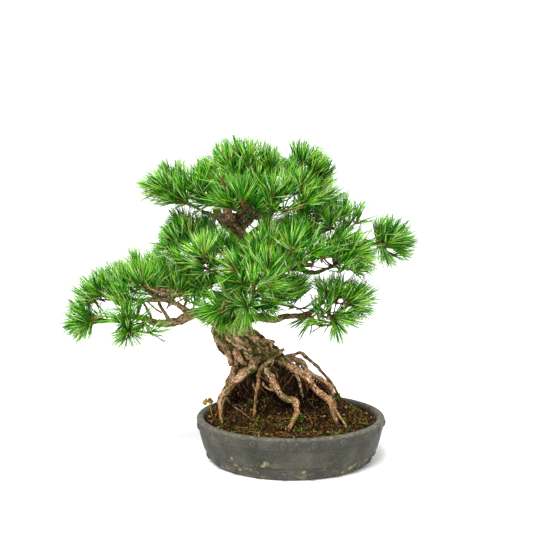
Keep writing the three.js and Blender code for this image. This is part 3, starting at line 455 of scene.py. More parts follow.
# Small roots that lie on the soil or on larger roots: the radius at both ends, and the pixels they run
# through, each with its place from front to back in millimetres where it hangs free
ROOTLETS_SEEN = [
    ((2.0, 1.2), [(226, 397), (230, 403), (236, 408), (242, 412), (247, 416), (252, 419), (257, 421)]),
    ((1.0, 0.7), [(250, 405), (247, 408), (244, 410), (240, 410)]),
    ((1.1, 0.8), [(237, 410), (237, 414), (235, 418), (234, 422)]),
    ((1.4, 1.0), [(243, 409), (240, 406), (236, 405), (231, 403)]),
    ((1.5, 1.1), [(223, 402), (222, 407), (221, 412), (220, 417)]),
    ((1.2, 0.8), [(216, 406), (216, 409), (215, 413)]),
    ((1.1, 0.8), [(212, 409), (212, 412), (211, 416)]),
    ((1.6, 1.2), [(253, 383, -52), (254, 387, -54), (256, 391, -55), (257, 393, -56)]),
    ((2.0, 1.5), [(262, 382, -50), (265, 386, -53), (269, 389, -56), (273, 391, -58)]),
    ((1.3, 0.8), [(273, 358, -40), (273, 362, -44), (271, 366, -46), (270, 369, -46)]),
    ((1.0, 0.6), [(284, 370, -30), (286, 376, -32), (285, 382, -34), (283, 388, -38)]),
    ((0.9, 0.5), [(276, 372, -36), (278, 379, -36), (277, 386, -40)]),
    ((1.2, 0.8), [(335, 405), (339, 408), (343, 410)]),
    ((1.0, 0.6), [(300, 376, -36), (304, 380, -36), (303, 384, -38)]),
    ((2.4, 1.8), [(322, 381, -24), (328, 386, -28), (332, 392, -32), (333, 399, -36)]),
]

# Tangles of fine roots: the pixels of each one's left, right, top and foot, its place from front to back in
# millimetres, and how many there are
TANGLES_SEEN = [
    (262, 300, 366, 396, -34, 54), (236, 264, 370, 394, -46, 34), (300, 328, 374, 402, -20, 20),
    (222, 246, 386, 402, -48, 16),
]
FINE_ROOT = {"radius": (0.4, 1.1), "taper": [1, 0.9, 0.8, 0.7, 0.5], "longest": 90, "dark": 0.72}
FINE_ROOT_BENDS = (0.3, 0.5, 0.75)  # where along a fine root it may bend
FINE_ROOT_STRAYS = {"start": 3, "depth": 12, "aside": 9, "foot": 6, "bend": 6}

# Pale stains on the pot, painted shade on the soil under the roots' arch, and moss: the pixel and the size of
# each patch in millimetres
STAINS_SEEN = [
    (266, 464, 3.6), (263, 466, 2.4), (246, 467.5, 3.2), (251, 470, 2.4), (236, 465, 2.6), (235, 470, 2.2),
    (229, 440, 2.4), (328, 437, 2), (331, 438, 1.8), (350, 468, 3.4), (355, 465, 3), (343, 472, 3),
    (222, 466, 3), (228, 468, 2.4), (214, 457, 2.4), (304, 472, 2.6), (258, 473, 2.6), (240, 469, 2.4),
    (232, 458, 2), (366, 460, 2.4),
]
PAINTED_SHADE_SEEN = [
    (285, 385, 24), (272, 380, 20), (296, 396, 20), (246, 388, 18), (262, 392, 16), (312, 400, 16),
    (282, 404, 16), (236, 396, 14), (262, 408, 14), (318, 390, 16),
]
MOSS_SEEN = [
    (228, 346, 10), (236, 357, 7), (255, 350, 11), (265, 358, 9), (259, 365, 9), (270, 368, 8),
    (283, 360, 9), (252, 373, 9), (277, 356, 7), (246, 359, 6), (231, 349, 7), (214, 336, 7),
    (272, 372, 7), (250, 384, 9), (243, 366, 7), (264, 376, 7), (228, 392, 8), (300, 357, 6),
    (331, 388, 7), (339, 395, 8), (255, 397, 7), (254, 403, 8), (252, 409, 8), (251, 415, 8),
    (222, 405, 4), (220, 413, 7), (220, 420, 8), (225, 388, 5), (229, 384, 4), (234, 390, 5),
    (285, 352, 5), (292, 356, 4), (221, 342, 5), (244, 349, 5), (212, 346, 6), (217, 353, 6),
    (224, 336, 6), (240, 362, 7), (259, 372, 8), (251, 378, 7), (284, 366, 6), (244, 340, 5),
    (251, 344, 6), (262, 345, 6), (236, 344, 5), (247, 371, 6),
]

# Sprouts in a clump: how many for its spread, how far they scatter, how long they are, and how many are moss
SPROUTS_SOWN = {"each": 2.6, "scatter": 0.5, "length": (2.2, 5.0), "mossy": 0.4}
SPROUTS_FOUND = {"each": 4, "scatter": 0.32, "length": (1.8, 4.2), "mossy": 0.3}

# Sprouts on the soil: the middle of each clump and its spread
SPROUTS = [
    (-61, -46, 8), (-41, -50, 7), (-50, -96, 8), (14, -88, 13), (-19, -84, 12), (76, -44, 8), (84, -62, 9),
    (-53, -84, 9), (-106, -60, 8), (66, -96, 12), (40, -98, 10), (98, 20, 14), (-90, 60, 12), (10, 96, 14),
    (-110, 10, 10), (-84, -84, 8), (110, -30, 10),
]

# Sprouts on the roots and under the arch: the pixel, and the size of the clump in pixels
SPROUTS_SEEN = [
    (251, 380, 6), (254, 383, 5), (264, 382, 4), (265, 387, 4), (243, 366, 3), (281, 357, 5),
    (283, 361, 4), (267, 366, 4), (256, 352, 3), (236, 357, 3), (229, 346, 3), (262, 361, 4),
    (252, 374, 4), (271, 370, 3), (226, 396, 3), (340, 394, 5), (225, 399, 3), (222, 408, 4),
    (222, 418, 5), (258, 418, 3), (262, 422, 3), (254, 412, 3), (245, 406, 3), (297, 420, 6),
    (303, 418, 5), (291, 421, 4), (336, 415, 4), (344, 420, 4), (352, 412, 4), (283, 424, 3),
    (337, 398, 4), (262, 372, 3), (268, 362, 3), (240, 345, 2), (233, 342, 2), (256, 345, 3),
]

# A seedling at the pot's left rim: the pixel of its head, its place from front to back, where its foot
# stands beside the head, and the pixels of its leaves' tips
SEEDLING = {
    "head": (208, 401), "depth": -36, "foot": (7, 5),
    "leaves": [(202, 404), (204, 399), (211, 398), (214, 402), (205, 402), (208, 398)],
}

# Colours, each as its red, green and blue from 0 to 255
# Needle shades dealt out by painted light: the bright and fresh greens come more where a shoot counts as lit,
# the pale one is a painted highlight and the deep one painted shade; the green and the gold come in any light
NEEDLE_SHADES = {
    "needles_bright": (136, 196, 34),
    "needles_fresh": (86, 170, 13),
    "needles_green": (50, 140, 7),
    "needles_painted_highlight": (172, 212, 126),
    "needles_painted_shade": (27, 95, 3),
    "needles_gold": (180, 152, 76),
}
CRUMB_SHADES = {
    "crumb_dark": ((11, 7, 3), (30, 19, 8)),
    "crumb_brown": ((50, 32, 13), (86, 57, 27)),
    "crumb_orange": ((92, 54, 22), (124, 78, 36)),
    "crumb_pale": ((128, 102, 62), (164, 138, 96)),
}
# Bark: its cracks and painted shade, its dull, tan and pale plates, and its moss
BARK_SHADES = {
    "trunk_bark": ((20, 13, 5), (132, 102, 66), (184, 145, 101), (230, 198, 156), (54, 60, 9)),
    "root_bark": ((26, 16, 7), (124, 92, 60), (178, 138, 98), (226, 192, 154), (56, 63, 11)),
    "bough_bark": ((22, 15, 7), (92, 73, 46), (131, 106, 70), (171, 147, 107), (48, 54, 10)),
}
# Shapes too slim to carry a pattern: the colour, the roughness and the gloss
PLAIN_SHADES = {
    "fine_root": ((88, 58, 33), 0.9, 0.1),
    "fine_root_dark": ((32, 21, 9), 0.9, 0.1),
    "twig_bark": ((78, 58, 34), 0.8, 0.2),
    "shoot_scales": ((116, 70, 37), 0.7, 0.2),
    "sprout_green": ((106, 140, 30), 0.6, 0.2),
    "moss_green": ((64, 82, 14), 0.8, 0.2),
    "leaf_brown": ((140, 112, 20), 0.6, 0.2),
    "straw": ((120, 92, 50), 0.8, 0.2),
    "dead_needle": ((86, 54, 26), 0.8, 0.2),
    "dark_straw": ((44, 28, 13), 0.8, 0.2),
}
NEEDLE_FINISH = (0.5, 0.16)  # the needles' roughness and gloss

# Stage
FLOOR_SIZE = 60  # metres
FLOOR_SHADE = (250, 250, 250)
SKY_LIGHT = 1.1
SUN = {"strength": 4.0, "spread": 32, "turn": (31, -7, -12)}  # a far soft lamp, its angles in degrees


# Numbers and noise

def unit(vector):
    """A vector, or each row of vectors, at length 1."""
    return vector / np.linalg.norm(vector, axis=-1, keepdims=True)


def random_from(seed):
    """A repeatable stream of numbers from 0 to 1, the same as the source's."""
    state = seed & 0xFFFFFFFF

    def draw():
        nonlocal state
        state = (state + 0x6D2B79F5) & 0xFFFFFFFF
        mixed = ((state ^ (state >> 15)) * (1 | state)) & 0xFFFFFFFF
        mixed = ((mixed + ((mixed ^ (mixed >> 7)) * (61 | mixed) & 0xFFFFFFFF)) & 0xFFFFFFFF) ^ mixed
        return (mixed ^ (mixed >> 14)) / 4294967296

    return draw


def lattice(cells, seed):
    """A repeatable number from 0 to 1 for each cell of a grid."""
    x, y, z = (cells[..., k].astype(np.uint32) for k in range(3))
    mixed = x * np.uint32(0x9E3779B1) ^ y * np.uint32(0x85EBCA77) ^ z * np.uint32(0xC2B2AE3D)
    mixed = mixed ^ np.uint32((seed * 0x27D4EB2F) & 0xFFFFFFFF)
    for shift, factor in ((15, 0x2C1B3C6D), (12, 0x297A2D39)):
        mixed = (mixed ^ (mixed >> np.uint32(shift))) * np.uint32(factor)
    return (mixed ^ (mixed >> np.uint32(15))) / 4294967296


def noise(points, size, seed=0, octaves=1):
    """Smooth noise from -1 to 1 with features of a size in millimetres, finer by half in each octave."""
    fade = 0.55  # what each octave keeps of the strength of the one before
    total = np.zeros(points.shape[:-1])
    for octave in range(octaves):
        place = points / size * 2**octave
        low = np.floor(place).astype(np.int64)
        part = place - low
        part = part * part * (3 - 2 * part)
        for corner in np.ndindex(2, 2, 2):
            weight = np.prod(np.where(corner, part, 1 - part), axis=-1)
            total += weight * (2 * lattice(low + corner, seed + octave) - 1) * fade**octave
    return total


def cracks(points, size, seed=0):
    """The nearness of a crack between plates of a size, from 0 to 1, and each plate's own number."""
    crack_width = 0.22
    place = points / size
    low = np.floor(place).astype(np.int64)
    near = np.full(points.shape[:-1], FAR)
    second = near.copy()
    plate = np.zeros_like(near)
    for step in np.ndindex(3, 3, 3):
        cell = low + np.array(step) - 1
        spot = cell + np.stack([lattice(cell, seed + k) for k in range(3)], axis=-1)
        distance = np.linalg.norm(spot - place, axis=-1)
        closer = distance < near
        second = np.where(closer, near, np.minimum(second, distance))
        plate = np.where(closer, lattice(cell, seed + 9), plate)
        near = np.minimum(near, distance)
    return np.clip(1 - (second - near) / crack_width, 0, 1), plate


# Limbs

class Limb:
    """A centre line through knots, with a radius that runs from knot to knot."""

    def __init__(self, knots, radii):
        self.knots = np.array(knots, float)
        self.radii = np.array(radii, float)

    def points(self, shares):
        """Places on the line at shares of its length: a smooth curve that doesn't overshoot its knots."""
        knots, count = self.knots, len(self.knots)
        place = np.clip(np.atleast_1d(shares).astype(float), 0, 1) * (count - 1)
        at = np.minimum(np.floor(place).astype(int), count - 2)
        part = (place - at)[:, None]
        before = np.where((at == 0)[:, None], 2 * knots[0] - knots[1], knots[np.maximum(at - 1, 0)])
        start, end = knots[at], knots[at + 1]
        beyond = np.minimum(at + 2, count - 1)
        after = np.where((at == count - 2)[:, None], 2 * knots[-1] - knots[-2], knots[beyond])
        first, middle, last = (np.sqrt(np.linalg.norm(b - a, axis=-1, keepdims=True))
                               for a, b in ((before, start), (start, end), (end, after)))
        leaving = (start - before) / first - (end - before) / (first + middle) + (end - start) / middle
        arriving = (end - start) / middle - (after - start) / (middle + last) + (after - end) / last
        leaving, arriving = leaving * middle, arriving * middle
        square = -3 * start + 3 * end - 2 * leaving - arriving
        cube = 2 * start - 2 * end + leaving + arriving
        return start + leaving * part + square * part**2 + cube * part**3

    def point(self, share):
        return self.points([share])[0]

    def tangents(self, shares):
        shares = np.atleast_1d(shares).astype(float)
        step = 0.0001
        return unit(self.points(np.minimum(shares + step, 1)) - self.points(np.maximum(shares - step, 0)))

    def radius(self, shares):
        return np.interp(np.asarray(shares) * (len(self.radii) - 1), np.arange(len(self.radii)), self.radii)

    def length(self):
        return np.linalg.norm(np.diff(self.points(np.linspace(0, 1, 60)), axis=0), axis=1).sum()

    def samples(self, count):
        """Points along the centre line with the radius there, as rows of x, y, z, radius."""
        shares = np.linspace(0, 1, count + 1)
        return np.column_stack([self.points(shares), self.radius(shares)])


def taper(radii, count):
    """The radius at each knot of a limb, from the radius at both ends."""
    return radii[0] + (radii[1] - radii[0]) * (np.arange(count) / (count - 1))**TAPER


def limb_along(path, radii):
    return Limb(path, taper(radii, len(path)))


def limbs_of_the_tree():
    limbs = {"trunk": Limb([knot[:3] for knot in TRUNK], [knot[3] for knot in TRUNK])}
    for name, (radii, path) in ROOTS.items():
        limbs[name] = limb_along(path, radii)
    for name, (on, share, radii, path) in BOUGHS.items():
        limbs[name] = limb_along([limbs[on].point(share), *path], radii)
    return limbs


def gap_to(points, samples):
    """How far points stand off the nearest of some limbs' samples; less than nothing is inside."""
    gap = np.full(points.shape[:-1], FAR)
    for row in samples:
        gap = np.minimum(gap, np.linalg.norm(points - row[:3], axis=-1) - row[3])
    return gap


def clearance(mine, others):
    """The least distance between two sets of rows of x, y, z, radius."""
    between = np.linalg.norm(mine[:, None, :3] - others[None, :, :3], axis=-1)
    return (between - mine[:, None, 3] - others[None, :, 3]).min()


def turned(vector, axis, angle):
    """A vector across an axis, turned about it."""
    return vector * math.cos(angle) + np.cross(axis, vector) * math.sin(angle)


# Places seen in the photograph

def seen_at(across, down, depth):
    """The places that show at a pixel of the photograph, so far from front to back, in millimetres."""
    right, up = (across - PHOTO / 2) / CAMERA_PIXELS, (PHOTO / 2 - down) / CAMERA_PIXELS
    cosine, sine = math.cos(LOOKING_DOWN), math.sin(LOOKING_DOWN)
    ray = np.array([right, cosine + up * sine, up * cosine - sine])
    return EYE + ray * (np.asarray(depth)[..., None] - EYE[1]) / ray[1]


def in_opening(places):
    """Whether places show in an opening where the photograph has no needles."""
    cosine, sine = math.cos(LOOKING_DOWN), math.sin(LOOKING_DOWN)
    away = places - EYE
    ahead = away[..., 1] * cosine - away[..., 2] * sine
    up = away[..., 1] * sine + away[..., 2] * cosine
    across = PHOTO / 2 + away[..., 0] / ahead * CAMERA_PIXELS
    down = PHOTO / 2 - up / ahead * CAMERA_PIXELS
    inside = np.zeros(across.shape, bool)
    for x, y, reach in OPENINGS_SEEN:
        inside |= (across - x)**2 + (down - y)**2 < reach**2
    return inside


def seen_on_limb(across, down, limb, sink=0.0):
    """The place on a limb that shows at a pixel, sunk under its surface by so many millimetres."""
    places = seen_at(across, down, LIMB_DEPTHS)
    gap = gap_to(places, limb.samples(160))
    return places[(gap < -sink).argmax() if (gap < -sink).any() else gap[::2].argmin() * 2]


def seen_on_ground(across, down, samples):
    """The place on the soil, or on a limb of these samples, that shows at a pixel, or None."""
    places = seen_at(across, down, GROUND_DEPTHS)
    in_soil = np.hypot(places[:, 0], places[:, 1]) < SOIL_TOP[0] - SOIL_MARGIN
    in_soil &= places[:, 2] < soil_height(places[:, 0], places[:, 1])
    met = in_soil | (gap_to(places, samples) < 0)
    return places[met.argmax()] if met.any() else None


def seen_on_pot(across, down):
    """The place on the pot's outer wall that shows at a pixel."""
    profile = np.array(POT_OUTSIDE[1:])
    places = seen_at(across, down, POT_DEPTHS)
    wall = np.interp(places[:, 2], profile[:, 1], profile[:, 0])
    return places[(np.hypot(places[:, 0], places[:, 1]) < wall).argmax()]


def find_spots(spots, samples):
    """Patches seen in the photograph as places on what carries them, each with its size."""
    found = [(seen_on_ground(across, down, samples), size) for across, down, size in spots]
    return [(*place, size) for place, size in found if place is not None]


def near_spots(points, spots):
    """How well points lie inside patches seen in the photograph, from 0 to 1."""
    inside = np.zeros(points.shape[:-1])
    for *spot, size in spots:
        inside = np.maximum(inside, np.clip(1.5 - np.linalg.norm(points - spot, axis=-1) / size, 0, 1))
    return inside


def tufts_seen(masses):
    """The tufts of the photograph as bases and axes, each under the mass whose space it stands deepest in."""
    tufts = [[] for _ in masses]
    for across, down, depth, turn, facing in TUFTS_SEEN:
        base = seen_at(across, down, depth)
        angle, flat = math.radians(turn), math.sqrt(1 - facing**2)
        axis = np.array([math.sin(angle) * flat, -facing, math.cos(angle) * flat])
        owner = min(masses, key=lambda mass: (max(mass.past_walls(base), 0), mass.outward(base)))
        tufts[owner.index].append((base, axis))
    return tufts


# Masses of needles

class Mass:
    """One mass of needles: its stem and sprays by the source's rule, and its finer shoots."""

    def __init__(self, index, limbs):
        self.index = index
        self.name, on, at, reach, self.count, lean = MASSES[index]
        self.at, self.reach = np.array(at, float), np.array(reach, float)
        self.lean = unit(np.array(lean, float))
        self.sparse = self.name in SPARSE
        self.stem = self.grow_stem(on, limbs)
        self.sprays = []
        self.shoots = []

    def grow_stem(self, on, limbs):
        """The stem, from the end of a bough or from a share of the trunk's length, to the mass's fork."""
        if isinstance(on, float):
            start = limbs["trunk"].point(on)
            out, radius = unit(self.at - start), STEM_RADIUS
        else:
            limb = limbs["trunk" if on == "trunk_tip" else on]
            out = limb.tangents(1)[0]
            start, radius = limb.point(1) + out * GAP, limb.radii[-1]
        fork = self.at + self.lean * (SPRAY_DROP - FORK_DROP)
        fork = fork + out * max(0, FORK_AHEAD - (fork - start) @ out)
        return limb_along([start, start + out * STEM_BEND * FORK_AHEAD, fork], (radius, TWIG * STEM_TIP))

    def find_walls(self, masses):
        """The planes that part this mass's space from its neighbours', as normals and offsets."""
        normals, offsets = [], []
        for other in masses:
            if other is self:
                continue
            away = other.at - self.at
            distance = np.linalg.norm(away)
            normal = away / distance
            mine, theirs = (np.linalg.norm(mass.reach * normal) for mass in (self, other))
            normals.append(normal)
            offsets.append(normal @ self.at + distance * mine / (mine + theirs) - GAP)
        self.walls = np.array(normals), np.array(offsets)

    def past_walls(self, points):
        """How far points stand past the nearest wall; less than nothing is inside."""
        normals, offsets = self.walls
        return (points @ normals.T - offsets).max(axis=-1)

    def outward(self, points):
        """How far out points stand in this mass's space, where 1 is its reach."""
        return np.linalg.norm((points - self.at) / self.reach, axis=-1)

    def try_spray(self, tried, turn, draw):
        spread = 0 if tried == 0 else SPRAY_SPREAD[0] + SPRAY_SPREAD[1] * draw()
        angle = turn + GOLDEN_ANGLE * tried
        out = np.array([math.cos(angle), math.sin(angle), 0])
        out = unit(out - self.lean * (out @ self.lean))
        rise = SPRAY_DROP + SPRAY_STEP * (draw() - 0.5 + (1 if tried == 0 else 0))
        base = self.at + out * (self.reach - SPRAY_MARGIN) * spread + self.lean * rise
        axis = unit(self.lean + out * SPRAY_SPLAY * spread)
        leave = self.stem.point(TWIG_LEAVES[0] + (TWIG_LEAVES[1] - TWIG_LEAVES[0]) * draw())
        return {"base": base, "axis": axis, "twig": Limb([leave, base], [TWIG, TWIG])}

    def grow_sprays(self, obstacles):
        """The sprays of the solids, each where it crowds no other, crosses no wall and touches no limb."""
        draw = random_from(SEED + self.index)
        turn = TURN * draw()
        for tried in range(SPRAY_TRIES):
            if len(self.sprays) == self.count:
                break
            spray = self.try_spray(tried, turn, draw)
            mine = np.vstack([[*spray["base"], HUB], spray["twig"].samples(8)[3:]])
            crowded = any(math.dist(spray["base"], other["base"]) < SPRAY_APART for other in self.sprays)
            walled = self.past_walls(spray["base"]) > -HUB
            if not crowded and not walled and clearance(mine, obstacles) >= SPRAY_ROOM:
                self.sprays.append(spray)

    def grow_shoots(self, limbs, taken, tufts):
        """A shoot on each spray, the tufts seen in the photograph, and shoots beside and between them."""
        random = np.random.default_rng(SEED + self.index)
        for spray in self.sprays:
            self.shoots.append({**spray, "spray": True, "seen": False})
            taken.append(spray["base"])
        kept = len(self.shoots)
        for base, axis in tufts:
            leave = self.stem.point(random.uniform(*TUFT_LEAVES))
            self.try_shoot(base, axis, leave, limbs, taken, TUFT_LIMITS)
        for shoot in self.shoots[kept:]:
            shoot["seen"] = True
        for spray in self.sprays:
            self.grow_beside(spray, random, limbs, taken)
        self.fill(random, limbs, taken)

    def grow_beside(self, spray, random, limbs, taken):
        """Shoots round a spray, and a little behind it."""
        side = unit(np.cross(spray["axis"], ASIDE))
        turn = TURN * random.random()
        for tried in range(0 if self.sparse else SHOOTS_BESIDE):
            out = turned(side, spray["axis"], turn + GOLDEN_ANGLE * tried)
            base = spray["base"] + out * SHOOT_SIDE * random.uniform(*SHOOT_RANGES["side"])
            base = base - spray["axis"] * SHOOT_BACK * random.uniform(*SHOOT_RANGES["back"])
            axis = unit(spray["axis"] + out * SHOOT_SPLAY * random.uniform(*SHOOT_RANGES["splay"]))
            leave = spray["twig"].point(random.uniform(*SHOOT_RANGES["leaves"]))
            self.try_shoot(base, axis, leave, limbs, taken)

    def fill(self, random, limbs, taken):
        """Shoots between the sprays, seldom on the mass's underside."""
        for _ in range(1 if self.sparse else SHOOTS_FILLING):
            out = unit(random.normal(size=3))
            out = out - self.lean * min(0, out @ self.lean + FILLING_BELOW)
            base = self.at + out * self.reach * random.uniform(*FILLING_REACH) - self.lean * FILLING_DROP
            axis = unit(self.lean + (base - self.at) / self.reach * FILLING_SPLAY)
            self.try_shoot(base, axis, self.stem.point(random.uniform(*FILLING_LEAVES)), limbs, taken)

    def try_shoot(self, base, axis, leave, limbs, taken, limits=SHOOT_LIMITS):
        """Adds a shoot and its twig, unless it stands too near another, too far out, or too near a limb."""
        crowded = np.linalg.norm(np.array(taken) - base, axis=1).min() < limits["apart"]
        seen = [shoot["base"] for shoot in self.shoots if shoot["seen"]]
        if seen and limits is SHOOT_LIMITS:
            crowded |= np.linalg.norm(np.array(seen) - base, axis=1).min() < TUFT_CLEAR
        outside = self.outward(base) > limits["reach"] or self.past_walls(base) > limits["past"]
        if crowded or outside or clearance(np.array([[*base, SHOOT_RADIUS]]), limbs) < limits["room"]:
            return
        way = base - leave
        knee = leave + way * KNEE[0] - axis * KNEE[1] * np.linalg.norm(way)
        twig = Limb([leave, knee, base - axis * TWIG_STRAIGHT, base], TWIG_RADII)
        self.shoots.append({"base": base, "axis": axis, "twig": twig, "spray": False, "seen": False})
        taken.append(base)


def grow_masses(limbs):
    """All the masses with their shoots, and the limbs' samples that needles keep clear of."""
    masses = [Mass(index, limbs) for index in range(len(MASSES))]
    limb_samples = np.vstack([limb.samples(40) for limb in limbs.values()])
    branches = [[mass.stem.samples(12)] for mass in masses]
    for mass in masses:
        mass.find_walls(masses)
        others = [rows for i, kept in enumerate(branches) if i != mass.index for rows in kept]
        mass.grow_sprays(np.vstack([limb_samples, *others]))
        branches[mass.index] += [spray["twig"].samples(12) for spray in mass.sprays]
    taken = []
    tufts = tufts_seen(masses)
    for mass in masses:
        mass.grow_shoots(limb_samples, taken, tufts[mass.index])
    return masses, limb_samples


def needle_ways(shoot, count, random):
    """Roots and directions of a shoot's needles, in bundles of five that open like a shuttlecock."""
    axis = shoot["axis"]
    side = unit(np.cross(axis, ASIDE))
    across = np.cross(axis, side)
    bundle = np.arange(count)
    height = (bundle + 0.5) / count
    lean = np.radians(BUNDLE_TURN[0] + (BUNDLE_TURN[1] - BUNDLE_TURN[0]) * height**BUNDLE_EASE)
    lean = (lean + np.radians(random.normal(0, BUNDLE_STRAY[0], count)))[:, None]
    angle = GOLDEN_ANGLE * bundle + random.normal(0, BUNDLE_STRAY[1], count)
    angle = (angle + TURN * random.random())[:, None]
    outward = side * np.cos(angle) + across * np.sin(angle)
    way = axis * np.cos(lean) + outward * np.sin(lean)
    along = (BUNDLE_ZONE[0] + (BUNDLE_ZONE[1] - BUNDLE_ZONE[0]) * height)[:, None]
    root = shoot["base"] + axis * along + outward * BUNDLE_OUT
    root, way = (np.repeat(value, BUNDLE, axis=0) for value in (root, way))
    return root, unit(way + random.normal(0, NEEDLE_SPREAD, way.shape))


def needles_of(shoot, mass, limb_samples, random):
    """A shoot's needles as rows of root, middle and tip, cut short or left out where they lack room."""
    axis, seen = shoot["axis"], shoot["seen"]
    root, way = needle_ways(shoot, BUNDLES_SPARSE if mass.sparse else BUNDLES, random)
    length = NEEDLE * random.uniform(*NEEDLE_LENGTH, len(root))[:, None]
    tip = root + unit(way + axis * random.uniform(*NEEDLE_RISE, length.shape)) * length
    line = root[:, None] + (tip - root)[:, None] * NEEDLE_TESTS
    room = random.uniform(*(ROOMY_SEEN if seen else ROOMY), (len(root), 1))
    room += ROOMY_MORE * (seen and (mass.sparse or axis[1] < -FACING))
    loose = random.uniform(*(LOOSE_SEEN if seen else LOOSE), (len(root), 1))
    blocked = (mass.outward(line) > room) | (mass.past_walls(line) > loose) | in_opening(line)
    near = np.linalg.norm(limb_samples[:, :3] - shoot["base"], axis=1) < NEEDLE_NEAR
    blocked |= gap_to(line, limb_samples[near]) < NEEDLE_RADIUS
    last = np.maximum(blocked.argmax(axis=1) - 1, 0)
    clear = np.where(blocked.any(axis=1), NEEDLE_TESTS[0, last, 0], 1)
    kept = clear >= NEEDLE_LEAST
    tip = root + (tip - root) * clear[:, None]
    middle = (root + tip) / 2 + (way * length / 2 - (tip - root) / 2) * 0.5
    return np.stack([root, middle, tip], axis=1)[kept]


def needle_mesh(needles):
    """Three-sided needles with a bend, as points and faces: two rings of three points, and the tip."""
    count = len(needles)
    root, middle, tip = needles[:, 0], needles[:, 1], needles[:, 2]
    way = unit(tip - root)
    side = unit(np.cross(way, ASIDE_NEEDLE))
    across = np.cross(way, side)
    points = np.empty((count, 7, 3))
    for corner in range(3):
        angle = TURN * corner / 3
        out = side * math.cos(angle) + across * math.sin(angle)
        points[:, corner] = root + out * NEEDLE_RADIUS * NEEDLE_FOOT
        points[:, 3 + corner] = middle + out * NEEDLE_RADIUS
    points[:, 6] = tip
    first = 7 * np.arange(count)[:, None]
    quads = np.vstack([first + (k, (k + 1) % 3, 3 + (k + 1) % 3, 3 + k) for k in range(3)])
    tris = np.vstack([*(first + (3 + k, 3 + (k + 1) % 3, 6) for k in range(3)), first + (2, 1, 0)])
    return points.reshape(-1, 3), quads, tris


# Meshes

def mesh_piece(name, points, faces, shades, attributes, materials, replaces=(), smooth=True):
    """A piece of the tree or pot, from points in millimetres and arrays of faces with their shades."""
    mesh = bpy.data.meshes.new(name)
    corners = np.concatenate([block.ravel() for block in faces]).astype(np.int32)
    sizes = np.concatenate([np.full(len(block), block.shape[1]) for block in faces])
    starts = np.concatenate([[0], np.cumsum(sizes)[:-1]]).astype(np.int32)
    mesh.vertices.add(len(points))
    mesh.vertices.foreach_set("co", (points * METRES).astype(np.float32).ravel())
    mesh.loops.add(len(corners))
    mesh.loops.foreach_set("vertex_index", corners)
    mesh.polygons.add(len(sizes))
    mesh.polygons.foreach_set("loop_start", starts)
    mesh.polygons.foreach_set("material_index", np.concatenate(shades).astype(np.int32))
    mesh.polygons.foreach_set("use_smooth", np.full(len(sizes), smooth))
    for key, values in attributes.items():
        mesh.attributes.new(key, "FLOAT", "POINT").data.foreach_set("value", values.astype(np.float32))
    mesh.update(calc_edges=True)
    mesh.validate()
    for material in materials:
        mesh.materials.append(material)
    thing = bpy.data.objects.new(name, mesh)
    bpy.context.collection.objects.link(thing)
    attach(thing, BODY)
    if replaces:
        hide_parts(*replaces)
    return thing


class Parts:
    """Points, faces, shades and attributes gathered from many small shapes into one piece."""

    def __init__(self):
        self.points, self.quads, self.tris = [], [], []
        self.quad_shades, self.tri_shades = [], []
        self.attributes = {}
        self.total = 0

    def add(self, points, quads=(), tris=(), shade=0, tri_shade=None, **attributes):
        """Adds a shape, with one shade or one for each face, and the triangles' own where they are given."""
        quads, tris = np.reshape(quads, (-1, 4)).astype(int), np.reshape(tris, (-1, 3)).astype(int)
        self.quads.append(quads + self.total)
        self.tris.append(tris + self.total)
        self.quad_shades.append(np.broadcast_to(shade, len(quads)))
        self.tri_shades.append(np.broadcast_to(shade if tri_shade is None else tri_shade, len(tris)))
        self.points.append(points)
        for key, values in attributes.items():
            self.attributes.setdefault(key, []).append(np.broadcast_to(values, len(points)))
        self.total += len(points)

    def piece(self, name, materials, replaces=(), smooth=True):
        attributes = {key: np.concatenate(values) for key, values in self.attributes.items()}
        faces = [np.vstack(self.quads), np.vstack(self.tris)]
        shades = [np.concatenate(self.quad_shades), np.concatenate(self.tri_shades)]
        kept = [i for i in range(2) if len(faces[i])]
        return mesh_piece(name, np.vstack(self.points), [faces[i] for i in kept], [shades[i] for i in kept],
                          attributes, materials, replaces, smooth)


def rings_along(limb, sides, steps):
    """The places, outward directions and shares of rings of points round a limb."""
    shares = np.linspace(0, 1, steps + 1)
    centres, tangents = limb.points(shares), limb.tangents(shares)
    side = np.array([0.0, 1.0, 0.0])
    angles = TURN * np.arange(sides) / sides
    outward = np.empty((steps + 1, sides, 3))
    for i, tangent in enumerate(tangents):
        side = unit(side - tangent * (side @ tangent))
        across = np.cross(tangent, side)
        outward[i] = np.cos(angles)[:, None] * side + np.sin(angles)[:, None] * across
    return centres[:, None], outward, shares[:, None], angles[None, :]


def ring_edges(sides, rings):
    """For each quad between rings of points, its first point and the next one round the same ring."""
    ring, edge = np.arange(rings - 1)[:, None] * sides, np.arange(sides)
    return (ring + edge).ravel(), (ring + (edge + 1) % sides).ravel()


def skin_faces(sides, rings):
    """Quads between rings of points, and fans to two more points that close the ends."""
    low, turn = ring_edges(sides, rings)
    quads = np.column_stack([low, turn, turn + sides, low + sides])
    edge = np.arange(sides)
    after = (edge + 1) % sides
    first, last = rings * sides, rings * sides + 1
    top = (rings - 1) * sides
    tris = np.vstack([np.column_stack([np.full(sides, first), after, edge]),
                      np.column_stack([np.full(sides, last), top + edge, top + after])])
    return quads, tris


def add_skin(parts, centres, outward, radii, shade=0, **attributes):
    """A closed skin over rings; each attribute has a value for every point of the rings."""
    rings, sides = outward.shape[:2]
    points = (centres + outward * np.broadcast_to(radii, (rings, sides))[..., None]).reshape(-1, 3)
    points = np.vstack([points, centres[0], centres[-1]])
    values = {key: np.append(np.broadcast_to(value, (rings, sides)).ravel(), [np.mean(value)] * 2)
              for key, value in attributes.items()}
    parts.add(points, *skin_faces(sides, rings), shade, **values)


